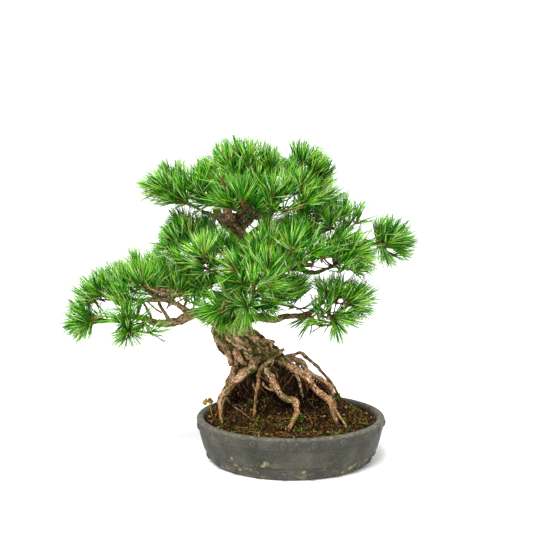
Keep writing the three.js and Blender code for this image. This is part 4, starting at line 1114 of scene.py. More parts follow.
def add_plain(parts, limb, sides, steps, shade=0, **attributes):
    """A limb with a smooth skin."""
    centres, outward, shares, _ = rings_along(limb, sides, steps)
    add_skin(parts, centres, outward, limb.radius(shares), shade, **attributes)


def grain_of(radius, angles, run):
    """Coordinates in metres that follow a limb, for its bark's patterns."""
    values = radius * np.cos(angles), radius * np.sin(angles), run
    return {"grain_" + axis: value * METRES for axis, value in zip("XYZ", values)}


# Materials

def colour(red, green, blue):
    """A colour from its 0 to 255 values in a picture."""
    linear = [((c / 255 + 0.055) / 1.055)**2.4 if c > 10 else c / 255 / 12.92 for c in (red, green, blue)]
    return (*linear, 1.0)


class Surface:
    """A material whose base colour is laid on in coats: a ramp first, and then tints over parts of it."""

    def __init__(self, name, roughness, specular=0.5):
        self.material = bpy.data.materials.new(name)
        self.material.use_nodes = True
        self.tree = self.material.node_tree
        self.shader = self.tree.nodes["Principled BSDF"]
        self.shader.inputs["Roughness"].default_value = roughness
        self.shader.inputs["Specular IOR Level"].default_value = specular
        self.place = self.tree.nodes.new("ShaderNodeTexCoord").outputs["Object"]
        self.base = None

    def node(self, kind, inputs=(), **settings):
        node = self.tree.nodes.new(kind)
        for key, value in settings.items():
            setattr(node, key, value)
        for key, value in dict(inputs).items():
            self.set(node.inputs[key], value)
        return node

    def set(self, socket, value):
        if isinstance(value, bpy.types.NodeSocket):
            self.tree.links.new(value, socket)
        else:
            socket.default_value = value

    def follow_grain(self):
        """From here on, patterns are drawn out along the limb that they lie on."""
        runs = {axis: self.attribute("grain_" + axis) for axis in "XYZ"}
        self.place = self.node("ShaderNodeCombineXYZ", runs).outputs[0]

    def noise(self, size, detail=4, roughness=0.55, stretch=None):
        """Noise whose features have a size in millimetres."""
        place = self.place
        if stretch:
            place = self.node("ShaderNodeMapping", {"Vector": place, "Scale": stretch}).outputs[0]
        inputs = {"Vector": place, "Scale": 1000 / size, "Detail": detail, "Roughness": roughness}
        return self.node("ShaderNodeTexNoise", inputs).outputs["Fac"]

    def cells(self, size):
        """Cells of a size in millimetres."""
        return self.node("ShaderNodeTexVoronoi", {"Vector": self.place, "Scale": 1000 / size})

    def plates(self, size):
        """How far from the middle of its plate a place lies."""
        return self.cells(size).outputs["Distance"]

    def speckle(self, size):
        """A number for each grain of a size in millimetres."""
        return self.node("ShaderNodeSeparateColor", {"Color": self.cells(size).outputs["Color"]}).outputs[0]

    def attribute(self, name):
        """A value that the mesh gives at each of its points."""
        return self.node("ShaderNodeAttribute", attribute_name=name).outputs["Fac"]

    def range(self, value, low, high, to=(0, 1)):
        """A value's run from low to high as a run between two others."""
        inputs = {"Value": value, "From Min": low, "From Max": high, "To Min": to[0], "To Max": to[1]}
        return self.node("ShaderNodeMapRange", inputs, clamp=True).outputs[0]

    def sum(self, first, second, operation="ADD"):
        return self.node("ShaderNodeMath", {0: first, 1: second}, operation=operation).outputs[0]

    def times(self, first, second):
        return self.sum(first, second, "MULTIPLY")

    def ramp(self, value, *stops):
        """The first coat: colours that follow a value."""
        node = self.node("ShaderNodeValToRGB", {"Fac": value})
        points = node.color_ramp.elements
        while len(points) < len(stops):
            points.new(0.5)
        for point, (place, tint) in zip(points, stops):
            point.position = place
            point.color = colour(*tint)
        self.base = node.outputs["Color"]

    def coat(self, share, tint):
        """A tint over the base, as strong as a share says."""
        node = self.node("ShaderNodeMix", data_type="RGBA")
        for index, value in ((0, share), (6, self.base), (7, colour(*tint))):
            self.set(node.inputs[index], value)
        self.base = node.outputs[2]

    def coat_at(self, name, tint, strength=1, pattern=None, low=0, high=1, to=(0, 1)):
        """A tint over the base where an attribute of the mesh is high, broken up by any pattern given."""
        share = self.attribute(name)
        if pattern is not None:
            share = self.times(share, self.range(pattern, low, high, to))
        self.coat(share if strength == 1 else self.times(share, strength), tint)

    def finish(self, roughness=None, bump=None, depth=0.4, strength=0.6):
        """Joins the pattern to the shader; depth is the bump's height in millimetres."""
        self.set(self.shader.inputs["Base Color"], self.base)
        if roughness is not None:
            self.set(self.shader.inputs["Roughness"], roughness)
        if bump is not None:
            inputs = {"Height": bump, "Distance": depth * METRES, "Strength": strength}
            self.set(self.shader.inputs["Normal"], self.node("ShaderNodeBump", inputs).outputs[0])
        return self.material


def stoneware():
    """Dark grey unglazed clay: cloudy, finely grained, worn pale on its edges, with dried soil low down."""
    look = Surface("stoneware", 0.72, 0.35)
    dark, flaked, stained = (34, 34, 30), (34, 34, 28), (112, 103, 72)
    look.ramp(look.noise(38, 5), (0.32, (35, 37, 30)), (0.5, (51, 51, 43)), (0.68, (71, 69, 57)))
    look.coat(look.range(look.noise(9, 4, 0.6, (1, 1, 7)), 0.5, 0.7, (0, 0.45)), (80, 79, 67))
    look.coat_at("worn", (116, 112, 97), 0.6, look.noise(6, 5), 0.36, 0.6)
    look.coat_at("stained", stained, 0.8, look.noise(17, 6, 0.62), 0.55, 0.63)
    look.coat(look.range(look.noise(13, 7, 0.7), 0.66, 0.71, (0, 0.8)), (130, 122, 92))
    look.coat_at("spotted", (166, 150, 106), 0.9, look.noise(5, 5), 0.4, 0.56)
    # Painted shade in the two cut lines and in the crease round each stud
    look.coat_at("hollow", dark, 0.7)
    flecks = look.noise(2.6, 6, 0.7)
    look.coat(look.range(flecks, 0.42, 0.32, (0, 0.65)), flaked)
    look.coat(look.range(flecks, 0.58, 0.68, (0, 0.6)), (122, 116, 96))
    grain = look.sum(look.noise(1.1, 3), look.noise(5, 3))
    return look.finish(look.range(look.noise(24), 0.35, 0.7, (0.62, 0.85)), grain, 0.5, 0.45)


def soil_look():
    """Crumbly dark brown soil with paler grains and a green film where it stays damp."""
    look = Surface("soil", 0.95, 0.05)
    crumbs = look.noise(5, 8, 0.65)
    look.ramp(crumbs, (0.4, (7, 4, 1)), (0.5, (33, 22, 9)), (0.59, (68, 45, 19)), (0.71, (124, 87, 44)))
    look.coat(look.range(look.noise(46), 0.45, 0.65, (0, 0.5)), (28, 18, 8))
    look.coat(look.range(look.speckle(2.4), 0.86, 0.9, (0, 0.7)), (112, 72, 36))
    look.coat_at("moss", (46, 58, 12), 1, look.noise(7, 6), 0.45, 0.62, (0, 0.6))
    # Painted shade, near black, under the roots' arch and in the heap's low places
    look.coat_at("hollow", (8, 5, 2), 0.9)
    return look.finish(None, look.sum(crumbs, look.noise(1.6, 3)), 1.6, 0.9)


def crumb_look(name, tint, pale):
    """One crumb of soil, blotched with a paler tint."""
    look = Surface(name, 0.9, 0.1)
    look.base = colour(*tint)
    look.coat(look.range(look.noise(3, 5), 0.35, 0.65), pale)
    return look.finish(None, look.noise(1, 3))


def bark_look(name, deep, dull, tan, pale, mossy):
    """Flaking bark: dull and tan plates, pale worn faces, moss in its hollows, painted shade in its cracks
    and joins.
    """
    look = Surface(name, 0.92, 0.1)
    look.follow_grain()
    look.ramp(look.noise(14, 6, 0.62), (0.36, dull), (0.5, tan), (0.66, pale))
    look.coat(look.range(look.speckle(3.6), 0.6, 0.95, (0, 0.7)), pale)
    look.coat(look.range(look.speckle(2.7), 0.26, 0.05, (0, 0.7)), deep)
    fine = look.noise(2.2, 6, 0.65)
    look.coat(look.range(fine, 0.47, 0.38, (0, 0.95)), deep)
    look.coat(look.range(fine, 0.54, 0.62, (0, 0.8)), pale)
    look.coat_at("warm", (168, 104, 58), 1, look.noise(8, 5), 0.4, 0.6, (0.1, 0.8))
    # Painted shade in the cracks and grooves, and where other limbs or the soil meet the bark
    look.coat_at("hollow", deep, 0.9)
    look.coat_at("moss", mossy, 1, look.noise(5, 5, 0.6), 0.4, 0.58)
    return look.finish(None, look.sum(fine, look.times(look.plates(3.4), 0.8), "SUBTRACT"), 0.9, 0.8)


def plain_look(name, tint, roughness, specular):
    """A plain colour, for shapes too slim to carry a pattern."""
    look = Surface(name, roughness, specular)
    look.base = colour(*tint)
    return look.finish()


def plain_looks(*names):
    return [plain_look(name, *PLAIN_SHADES[name]) for name in names]


# Pot

def smoothed(profile, spacing):
    """Points about a spacing apart along straight runs between the points of a profile."""
    line = [profile[0]]
    for start, end in zip(profile, profile[1:]):
        steps = max(1, round(math.dist(start, end) / spacing))
        line += [(start[0] + (end[0] - start[0]) * i / steps, start[1] + (end[1] - start[1]) * i / steps)
                 for i in range(1, steps + 1)]
    return np.array(line, float)


def rounded(profile, passes):
    """The same profile with its corners eased, and its ends kept."""
    line = profile.copy()
    for _ in range(passes):
        line[1:-1] = line[1:-1] * 0.5 + (line[:-2] + line[2:]) * 0.25
    return line


def pot_profile():
    """Each ring's radius and height, whether it lies outside, and how deep a line is cut there."""
    outside = rounded(smoothed(POT_OUTSIDE, POT_STEPS[0]), 3)
    inside = rounded(smoothed(POT_INSIDE, POT_STEPS[1]), 1)
    radius, height = np.vstack([outside, inside]).T.copy()
    on_wall = np.arange(len(radius)) < len(outside)
    groove = np.zeros(len(radius))
    for line in LINES:
        groove = np.maximum(groove, np.where(on_wall, np.exp(-((height - line) / (LINE_WIDTH / 2))**2), 0))
    return radius - groove * LINE_DEPTH, height, on_wall, groove


def pot_wear(height, on_wall):
    """How worn and how stained the drum is at each ring."""
    worn = np.exp(-((height - POT_HEIGHT) / POT_WORN["rim"])**2)
    worn = worn + POT_WORN["foot_share"] * np.exp(-(height / POT_WORN["foot"])**2) * on_wall
    stained = np.clip(POT_STAINED["foot"] - height / POT_STAINED["height"], 0, 1)
    return worn, np.where(on_wall, stained, POT_STAINED["inside"])


def make_pot(clay):
    """The drum: a profile spun round, two lines cut in its wall, slight unevenness and two drain holes."""
    radius, height, on_wall, groove = pot_profile()
    angles = np.radians(STUD_TURN) + math.pi / POT_SIDES + TURN * np.arange(POT_SIDES) / POT_SIDES
    ring = np.column_stack([np.cos(angles), np.sin(angles)])
    kept = slice(1, len(radius) - 1)  # the first and the last point lie on the axis
    rings = len(radius) - 2
    points = np.empty((rings, POT_SIDES, 3))
    points[..., :2] = radius[kept, None, None] * ring
    points[..., 2] = height[kept, None]
    uneven = sum(noise(points, size, seed) * high for size, seed, high in POT_UNEVEN)
    uneven = uneven * (on_wall & (height > 1))[kept, None] + POT_SWELL * on_wall[kept, None]
    points[..., :2] += uneven[..., None] * ring
    worn, stained = pot_wear(height, on_wall)
    # The cut lines also carry painted shade
    values = {"worn": worn, "stained": stained, "hollow": groove}
    spread = {key: np.append(np.repeat(value[kept], POT_SIDES), [0, 0]) for key, value in values.items()}
    spots = [(*seen_on_pot(across, down), size) for across, down, size in STAINS_SEEN]
    spotted = np.append(near_spots(points, spots).ravel(), [0, 0])
    parts = Parts()
    points = np.vstack([points.reshape(-1, 3), (0, 0, 0), (0, 0, FLOOR)])
    parts.add(points, *skin_faces(POT_SIDES, rings), spotted=spotted, **spread)
    pot = parts.piece("pot_drum", [clay], ["pot"])
    for side in (-1, 1):
        cut_drain(pot, side * DRAIN["offset"])


def cut_drain(pot, x):
    """A round hole through the pot's floor."""
    radius, depth = DRAIN["radius"] * METRES, 4 * FLOOR * METRES
    bpy.ops.mesh.primitive_cylinder_add(vertices=48, radius=radius, depth=depth, location=(x * METRES, 0, 0))
    cutter = bpy.context.object
    cut = pot.modifiers.new("drain", "BOOLEAN")
    cut.operation, cut.object, cut.solver = "DIFFERENCE", cutter, "EXACT"
    bpy.context.view_layer.objects.active = pot
    bpy.ops.object.modifier_apply(modifier=cut.name)
    bpy.data.objects.remove(cutter)


def add_stud(parts, row, i):
    """One low round button with a soft shoulder, tilted as the pot's wall is."""
    profile = np.array(STUD_PROFILE)
    turn, droop = math.radians(STUD_TURN) + TURN * i / STUDS_IN_A_ROW, math.radians(row["droop"])
    out = np.array([math.sin(turn) * math.cos(droop), -math.cos(turn) * math.cos(droop), -math.sin(droop)])
    side = np.array([math.cos(turn), math.sin(turn), 0])
    foot = np.array([math.sin(turn) * row["radius"], -math.cos(turn) * row["radius"], row["height"]])
    edge = np.arange(STUD_SIDES)
    angles = TURN * edge / STUD_SIDES
    ring = np.cos(angles)[:, None] * side + np.sin(angles)[:, None] * np.cross(side, out)
    size = row["size"] * (1 + 0.05 * math.sin(3.7 * i))  # no two quite alike
    rings = foot + ring[None] * (profile[1:, 0, None, None] * size) + out * profile[1:, 1, None, None]
    points = np.vstack([rings.reshape(-1, 3), foot + out * profile[0, 1]])
    low, after = ring_edges(STUD_SIDES, len(rings))
    quads = np.column_stack([low, low + STUD_SIDES, after + STUD_SIDES, after])
    tris = np.column_stack([np.full(STUD_SIDES, len(points) - 1), edge, (edge + 1) % STUD_SIDES])
    worn = 0.05 + 0.4 * np.exp(-((profile[1:, 0] - 0.8) / 0.15)**2)  # palest on the shoulder
    # Painted shade in the crease round its foot
    parts.add(points, quads, tris, worn=np.append(np.repeat(worn, STUD_SIDES), 0.1), stained=row["stained"],
              hollow=np.append(np.repeat(STUD_PAINTED_SHADE, STUD_SIDES), 0), spotted=0)


def make_studs(clay):
    parts = Parts()
    for row in STUD_ROWS:
        for i in range(STUDS_IN_A_ROW):
            add_stud(parts, row, i)
    parts.piece("pot_studs", [clay])


# Soil

def soil_height(x, y):
    """The heap's smooth height over a place."""
    across = (x - SOIL["x"]) / np.where(x < SOIL["x"], SOIL["left"], SOIL["right"])
    along = (y - SOIL["y"]) / SOIL["deep"]
    rise = np.maximum(0, 1 - across**2 - along**2)
    return np.minimum(SOIL["top"], SOIL_TOP[1] + SOIL["heap"] * rise**1.5)


def soil_relief(points):
    """How far crumbs, lumps and hollows lift the soil's surface, in millimetres."""
    high = SOIL_RELIEF
    lumps = noise(points, size=17, seed=11, octaves=2) * high["lumps"]
    crumbs = noise(points, size=5.5, seed=12, octaves=2) * high["crumbs"]
    gap, plate = cracks(points, size=9, seed=13)
    return lumps + crumbs + (plate - 0.5) * high["plates"] - gap * high["cracks"] - high["sunk"]


def soil_at(places):
    """The soil's surface over rows of x and y."""
    flat = np.column_stack([places, np.zeros(len(places))])
    return soil_height(flat[:, 0], flat[:, 1]) + soil_relief(flat)


def scattered(random, reach):
    """A place drawn evenly over a disc."""
    radius, angle = reach * math.sqrt(random.random()), TURN * random.random()
    return radius * math.cos(angle), radius * math.sin(angle)


def make_soil(look, painted_shade_spots):
    """The heap, uneven all over, down to the pot's floor."""
    edge = SOIL_TOP[0] - SOIL_CLEAR
    radii = edge * np.linspace(0.01, 1, SOIL_RINGS)[::-1]
    angles = TURN * np.arange(SOIL_SIDES) / SOIL_SIDES
    ring = np.column_stack([np.cos(angles), np.sin(angles), np.zeros(SOIL_SIDES)])
    flat = radii[:, None, None] * ring
    height = soil_height(flat[..., 0], flat[..., 1])
    relief = soil_relief(flat)
    near_edge = np.clip((edge - radii) / 8, 0.25, 1)[:, None]  # flatter and a little lower at the wall
    top = flat.copy()
    top[..., 2] = height + relief * near_edge - 0.6 * (1 - near_edge)
    low = FLOOR + 0.4
    foot = (SOIL_FOOT[0] - 1) * ring + (0, 0, low)
    points = np.vstack([foot, top.reshape(-1, 3), (0, 0, low), (0, 0, soil_height(0, 0))])
    steep = np.clip((height - 84) / 30, 0, 1) * (flat[..., 1] < 40)  # the upper flank, in the arch's shade
    # Painted shade: on the upper flank under the arch, in the relief's low places, and in the patches listed
    hollow = np.clip(steep * 0.75 - relief * 0.12 + 0.8 * near_spots(top, painted_shade_spots), 0, 1)
    green = np.clip(noise(flat, 34, 21) * 1.6 - 0.5, 0, 1)
    spread = {key: np.concatenate([np.zeros(SOIL_SIDES), value.ravel(), [0, 0]])
              for key, value in {"hollow": hollow, "moss": green}.items()}
    parts = Parts()
    parts.add(points, *skin_faces(SOIL_SIDES, SOIL_RINGS + 1), **spread)
    parts.piece("soil_heap", [look], ["soil"])


def pebble(random, size):
    """An uneven crumb, as points and faces, from a cube whose corners and face middles are pushed about."""
    corners = np.array([(x, y, z) for x in (-1, 1) for y in (-1, 1) for z in (-1, 1)], float) * 0.62
    middles = np.array([(1, 0, 0), (-1, 0, 0), (0, 1, 0), (0, -1, 0), (0, 0, 1), (0, 0, -1)], float)
    points = np.vstack([corners, middles]) * random.uniform(0.75, 1.2, (14, 1)) * random.uniform(0.6, 1, 3)
    loops = [(4, 5, 7, 6), (0, 2, 3, 1), (2, 6, 7, 3), (0, 1, 5, 4), (1, 3, 7, 5), (0, 4, 6, 2)]
    tris = [(8 + i, loop[k], loop[(k + 1) % 4]) for i, loop in enumerate(loops) for k in range(4)]
    turn = np.linalg.qr(random.normal(size=(3, 3)))[0]
    turn = turn * np.sign(np.linalg.det(turn))
    return points @ turn.T * size, tris


def make_crumbs(looks):
    """Grains scattered over the soil, most of them small."""
    random = np.random.default_rng(SEED)
    crumbs, places, sizes = [], [], []
    for _ in range(CRUMB_COUNT):
        places.append(scattered(random, CRUMB_REACH))
        sizes.append(CRUMB_SIZE["least"] + CRUMB_SIZE["more"] * random.random()**CRUMB_SIZE["rarity"])
        crumbs.append((*pebble(random, sizes[-1]), random.choice(len(looks), p=CRUMB_SHARES)))
    middles = np.column_stack([places, soil_at(places) + np.array(sizes) * CRUMB_LIFT])
    parts = Parts()
    for (points, tris, shade), middle in zip(crumbs, middles):
        parts.add(points + middle, (), tris, shade)
    parts.piece("soil_crumbs", looks, smooth=False)


# Bark

def strands(angles, shares, points, depth):
    """The trunk's twisted strands, as a share of its radius from 1 - depth to 1 + depth, and its grooves."""
    wander = 0.24 * noise(points, 38, 31) + 0.08 * noise(points, 13, 32)
    place = (FLUTES * (angles + FLUTE_TWIST * shares) / TURN + 0.5 + wander) % 1
    crest = np.clip(1 - (2 * place - 1)**2, 0, 1)**0.7
    return 1 + depth * (1.75 * crest - 1), 1 - crest


def strand_rise(points, trunk):
    """How far the strands seen in the photograph stand out, and how bare of them the trunk is elsewhere."""
    rise = np.zeros(points.shape[:-1])
    near = np.full(points.shape[:-1], FAR)
    for radii, path in STRANDS_SEEN:
        strand = limb_along([seen_on_limb(*pixel, trunk) for pixel in path], radii)
        for row in strand.samples(36):
            distance = np.linalg.norm(points - row[:3], axis=-1)
            bulge = np.sqrt(np.clip(1 - (distance / row[3])**2, 0, 1)) * row[3] * STRAND_RISE
            rise = np.maximum(rise, bulge)
            near = np.minimum(near, distance)
    return rise, np.clip((near - STRAND_BARE[0]) / STRAND_BARE[1], 0, 1)


def contact_shade(points, samples):
    """Painted shade on bark where it meets other limbs, from 0 to 1."""
    return np.clip(1 - gap_to(points, samples) / 2.5, 0, 1)


def trunk_relief(plain, radius):
    """How far plates, cracks and lumps lift the trunk's bark, and how near a crack is, from 0 to 1."""
    high = TRUNK_RELIEF
    crack, plate = cracks(plain, size=5.5, seed=41)
    relief = (plate - 0.5) * high["plates"] - crack * high["cracks"]
    relief = relief + noise(plain, size=14, seed=42, octaves=2) * high["lumps"]
    relief = relief + noise(plain, size=3, seed=43) * high["grain"] - high["sunk"]
    return relief * np.clip(radius / 20, 0.35, 1), crack


def trunk_moss(around, groove, shares, moss_spots):
    """How mossy the trunk is, from 0 to 1: in its grooves low down, and where moss is seen."""
    damp = np.clip(1.7 - shares * 3.2, 0, 1)
    moss = np.clip(groove * 1.5 + noise(around, 22, 44) * 0.9 - 0.5, 0, 1) * damp
    return np.maximum(moss, near_spots(around, moss_spots))


def make_trunk(limb, look, moss_spots, root_samples):
    """The trunk with its flutes, the strands and knobs seen in the photograph, plates, cracks and moss."""
    centres, outward, shares, angles = rings_along(limb, TRUNK_SIDES, TRUNK_STEPS)
    radius = limb.radius(shares)
    around = centres + outward * radius[..., None]
    low = np.clip(1.3 - 1.9 * shares, 0, 1)  # from 1 near the foot to 0 two thirds of the way up
    ridges, groove = strands(angles, shares, around, FLUTE_DEPTH * low + 0.05)
    rise, bare = strand_rise(around, limb)
    ridges = ridges * bare + (1 - bare) * 0.94
    groove = groove * bare + (1 - bare) * np.clip(1 - rise / 3, 0, 1)
    twist, run = angles + FLUTE_TWIST * shares, shares * limb.length() / TRUNK_STRETCH
    run = np.broadcast_to(run, ridges.shape)
    plain = np.stack([radius * np.cos(twist), radius * np.sin(twist), run], axis=-1)
    relief, crack = trunk_relief(plain, radius)
    groove = np.clip((groove - 0.25) / 0.45, 0, 1) * (0.35 + 0.65 * low)
    # Painted shade: darker in cracks and grooves, where the roots meet the trunk, and under the arch
    hollow = np.clip(crack * 0.7 + groove + contact_shade(around, root_samples), 0, 1)
    hollow = np.maximum(hollow, np.clip((156 - around[..., 2]) / 10, 0, 1))  # in the arch's shade
    moss = trunk_moss(around, groove, shares, moss_spots)
    parts = Parts()
    add_skin(parts, centres, outward, radius * ridges + rise + relief, hollow=hollow, moss=moss, warm=0,
             **grain_of(radius, twist, run))
    for i, (radii, path) in enumerate(KNOBS_SEEN):
        knob = limb_along([seen_on_limb(*place, limb, -height) for *place, height in path], radii)
        add_barked(parts, knob, "knob", i, moss_spots=moss_spots)
    parts.piece("trunk_bark", [look], ["trunk"])


def add_barked(parts, limb, kind, index, collar=0, moss_spots=(), others=(), warm=None):
    """A bough or root with knots and flakes; collar swells its foot, and others are the limbs it meets."""
    sides, relief, seed, gnarled, mossy, usual = KINDS[kind]
    seed, warm = seed + 9 * index, warm or usual
    high, length = LIMB_RELIEF, limb.length()
    centres, outward, shares, angles = rings_along(limb, sides, max(4, int(length / LIMB_STEP)))
    free = np.clip(np.minimum(shares, 1 - shares) * 6, 0, 1)[..., None]  # both ends stay where they are
    bends = np.stack([noise(centres, 13, seed + 3 + k, 2) for k in range(3)], axis=-1)
    centres = centres + bends * free * gnarled * np.clip(limb.radius(shares) / 4, 0.4, 1)[..., None]
    radius = limb.radius(shares) * (1 + collar * np.exp(-shares * length / 14))
    around = centres + outward * radius[..., None]
    grain = grain_of(radius, angles, 50.0 * seed + shares * length / LIMB_STRETCH)
    plain = np.stack([np.broadcast_to(value, outward.shape[:2]) for value in grain.values()], axis=-1)
    crack, plate = cracks(plain / METRES, np.clip(limb.radii[0] * 0.7, 2.2, 4.5), seed)
    uneven = noise(around, 11, seed + 1, 2) * high["lumps"]
    uneven = uneven + (plate - 0.5) * high["plates"] - crack * high["cracks"] - high["sunk"]
    uneven = uneven * relief * np.clip(radius / 7, 0.3, 1)
    moss = np.clip(noise(around, 22, seed + 2) * 1.4 + mossy - 0.4, 0, 1) * (mossy > 0)
    moss = np.maximum(moss, near_spots(around, moss_spots))
    # Painted shade: darker where it runs into the soil, in its cracks and beside the limbs it meets
    over_soil = around[..., 2] - soil_height(around[..., 0], around[..., 1])
    buried = np.clip(1 - over_soil / 5, 0, 1) * (np.hypot(around[..., 0], around[..., 1]) < RIM_RADIUS)
    hollow = np.clip(crack * 0.8 + contact_shade(around, others) + buried, 0, 1)
    add_skin(parts, centres, outward, radius + uneven, hollow=hollow, moss=moss,
             warm=warm[0] + (warm[1] - warm[0]) * shares, **grain)


def make_roots(limbs, look, moss_spots):
    parts = Parts()
    for i, name in enumerate(ROOTS):
        others = [limb.samples(30) for key, limb in limbs.items() if key != name and key not in BOUGHS]
        add_barked(parts, limbs[name], "root", i, moss_spots=moss_spots, others=np.vstack(others),
                   warm=ROOTS_WARM.get(name))
    parts.piece("roots_bark", [look], list(ROOTS))


def make_boughs(limbs, look):
    parts = Parts()
    for i, name in enumerate(BOUGHS):
        on_trunk = BOUGHS[name][0] == "trunk"
        add_barked(parts, limbs[name], "bough", i, collar=TRUNK_COLLAR if on_trunk else BOUGH_COLLAR)
    for i, (radii, path) in enumerate(BRANCHLETS_SEEN):
        add_barked(parts, limb_along([seen_at(*place) for place in path], radii), "branchlet", i)
    parts.piece("boughs_bark", [look], list(BOUGHS))


def tangle(left, right, top, foot, depth, count, samples, random):
    """Fine roots from the trunk and larger roots down into the soil, each with its shade."""
    stray = FINE_ROOT_STRAYS
    for _ in range(count):
        across = random.uniform(left, right)
        top_here = top + random.normal(0, stray["start"])
        near = seen_at(across, top_here, depth + random.normal(0, stray["depth"]))
        start = samples[(np.linalg.norm(samples[:, :3] - near, axis=1) - samples[:, 3]).argmin(), :3]
        across = across + random.normal(0, stray["aside"])
        end = seen_on_ground(across, foot + random.normal(0, stray["foot"]), samples)
        if end is None or np.linalg.norm(end - start) > FINE_ROOT["longest"]:
            continue
        middle = [start + (end - start) * share + random.normal(0, stray["bend"], 3)
                  for share in FINE_ROOT_BENDS]
        radii = random.uniform(*FINE_ROOT["radius"]) * np.array(FINE_ROOT["taper"])
        yield Limb([start, *middle, end], radii), 1 + (random.random() < FINE_ROOT["dark"])


def make_rootlets(looks, samples, moss_spots):
    """Small roots and stubs, and tangles of fine ones from the trunk and roots into the soil."""
    parts = Parts()
    for i, (radii, path) in enumerate(ROOTLETS):
        add_barked(parts, limb_along(path, radii), "rootlet", i, moss_spots=moss_spots)
    for i, (radii, path) in enumerate(ROOTLETS_SEEN):
        places = [seen_at(*spot) if len(spot) == 3 else seen_on_ground(*spot, samples) for spot in path]
        places = [place for place in places if place is not None]
        add_barked(parts, limb_along(places, radii), "rootlet_seen", i)
    random = np.random.default_rng(SEED + 4)
    plain = dict.fromkeys(parts.attributes, 0)
    for row in TANGLES_SEEN:
        for limb, shade in tangle(*row, samples, random):
            add_plain(parts, limb, 5, 16, shade, **plain)
    parts.piece("rootlets", looks)


# Twigs and needles

def add_shoot(parts, shoot, random):
    """The scaly brown end of a twig, where needles sit, and its bud."""
    base, axis = shoot["base"], shoot["axis"]
    thick = SHOOT_THICK if shoot["seen"] else 1
    foot, *others = (radius for _, radius in SHOOT_END)
    radii = [foot, *(radius * thick for radius in others)]
    end = Limb([base + axis * along for along, _ in SHOOT_END], radii)
    centres, outward, shares, _ = rings_along(end, 6, 7)
    radii = end.radius(shares) * random.uniform(0.8, 1.2, outward.shape[:2])
    add_skin(parts, centres, outward, radii, 1)


def make_twigs(masses, looks):
    parts = Parts()
    random = np.random.default_rng(SEED + 1)
    for mass in masses:
        add_plain(parts, mass.stem, 10, 12)
        for shoot in mass.shoots:
            limb = shoot["twig"]
            if shoot["spray"]:
                start, end = limb.knots
                knee = (start + end) / 2 - shoot["axis"] * SPRAY_KNEE * np.linalg.norm(end - start)
                limb = Limb([start, knee, end], SPRAY_TWIG_RADII)
            add_plain(parts, limb, 7, 5)
            add_shoot(parts, shoot, random)
    parts.piece("twigs", looks)


NEEDLE_PIECES = {
    "needles_top": ("mass_top_crown", "mass_top_right", "mass_top_left", "mass_top_left_inner"),
    "needles_top_front": ("mass_top_front", "mass_top_front_right", "mass_top_back", "mass_shoulder"),
    "needles_right": (
        "mass_right_upper", "mass_right_middle", "mass_right_far", "mass_right_low", "mass_right_lowest",
    ),
    "needles_front": (
        "mass_left_front", "mass_front_low", "mass_front_right", "mass_low_middle_right", "mass_low_front",
    ),
    "needles_left": ("mass_left_upper", "mass_left_inner", "mass_left_high", "mass_left_outer"),
    "needles_left_low": ("mass_left_end", "mass_left_low", "mass_left_back"),
    "needles_back": ("mass_back_left", "mass_back_right", "mass_back_low"),
}


def shades_of(shoot, count, random):
    """A shoot's needle shades, dealt out as painted light: brighter in front and on tufts seen, deeper
    behind.
    """
    height, front = (shoot["base"][2] - 230) / 230, -shoot["base"][1] / 120
    # Painted light: how lit a shoot counts as, less high up, more in front and on tufts seen, and varied by
    # chance
    light = 0.33 - 0.04 * height + 0.2 * front + 0.22 * shoot["seen"] + random.normal(0, 0.14)
    light = np.clip(light, 0.08, 0.95)
    # In the order of the needles' shades; lit greens and painted highlights follow the light, painted shade
    # its lack
    weights = np.array([0.28 * light, 0.26 * light, 0.14, 0.05 + 0.22 * light, 0.1 + 0.6 * (1 - light), 0.02])
    return random.choice(len(weights), count, p=weights / weights.sum())


def make_needles(masses, limb_samples, looks):
    for name, members in NEEDLE_PIECES.items():
        parts = Parts()
        for mass in (mass for mass in masses if mass.name in members):
            random = np.random.default_rng(SEED * 3 + mass.index)
            for shoot in mass.shoots:
                needles = needles_of(shoot, mass, limb_samples, random)
                if len(needles) < NEEDLES_LEAST:
                    continue
                each = shades_of(shoot, len(needles), random)
                parts.add(*needle_mesh(needles), np.tile(each, 3), np.tile(each, 4))
        parts.piece(name, looks, members)


# Sprouts and litter

def add_leaf(parts, root, random, length, shade, way=None, facing=None, width=0.24):
    """A folded lozenge, which stands its own way and faces anywhere unless both are given."""
    if way is None:
        way = unit(np.array([random.normal(), random.normal(), abs(random.normal()) + 0.9]))
        facing = random.normal(size=3)
    side = unit(np.cross(way, facing))
    fold = np.cross(way, side)
    wide = length * width
    middle = root + way * length * 0.55
    tip = root + way * length + fold * length * 0.18
    points = np.array([root, middle + side * wide + fold * 0.3, tip, middle - side * wide + fold * 0.3,
                       middle - fold * 0.35])
    tris = [(0, 1, 4), (1, 2, 4), (2, 3, 4), (3, 0, 4), (0, 3, 1), (1, 3, 2)]
    parts.add(points, (), tris, shade)


def add_seedling(parts):
    """A thin stem beside the rim, with broad leaves that face the front."""
    random = np.random.default_rng(SEED + 5)
    head = seen_at(*SEEDLING["head"], SEEDLING["depth"])
    foot = head[:2] + SEEDLING["foot"]
    foot = np.array([*foot, *soil_at([foot])])
    add_plain(parts, Limb([foot, (foot + head) / 2 + (0, 0, 3), head], [1.1, 0.9, 0.8]), 5, 6, 2)
    for across, down in SEEDLING["leaves"]:
        tip = seen_at(across, down, SEEDLING["depth"] + random.uniform(-6, 6))
        facing = (random.normal(0, 0.5), -1, random.normal(0, 0.5))
        add_leaf(parts, head, random, np.linalg.norm(tip - head), 2, unit(tip - head), facing, 0.48)


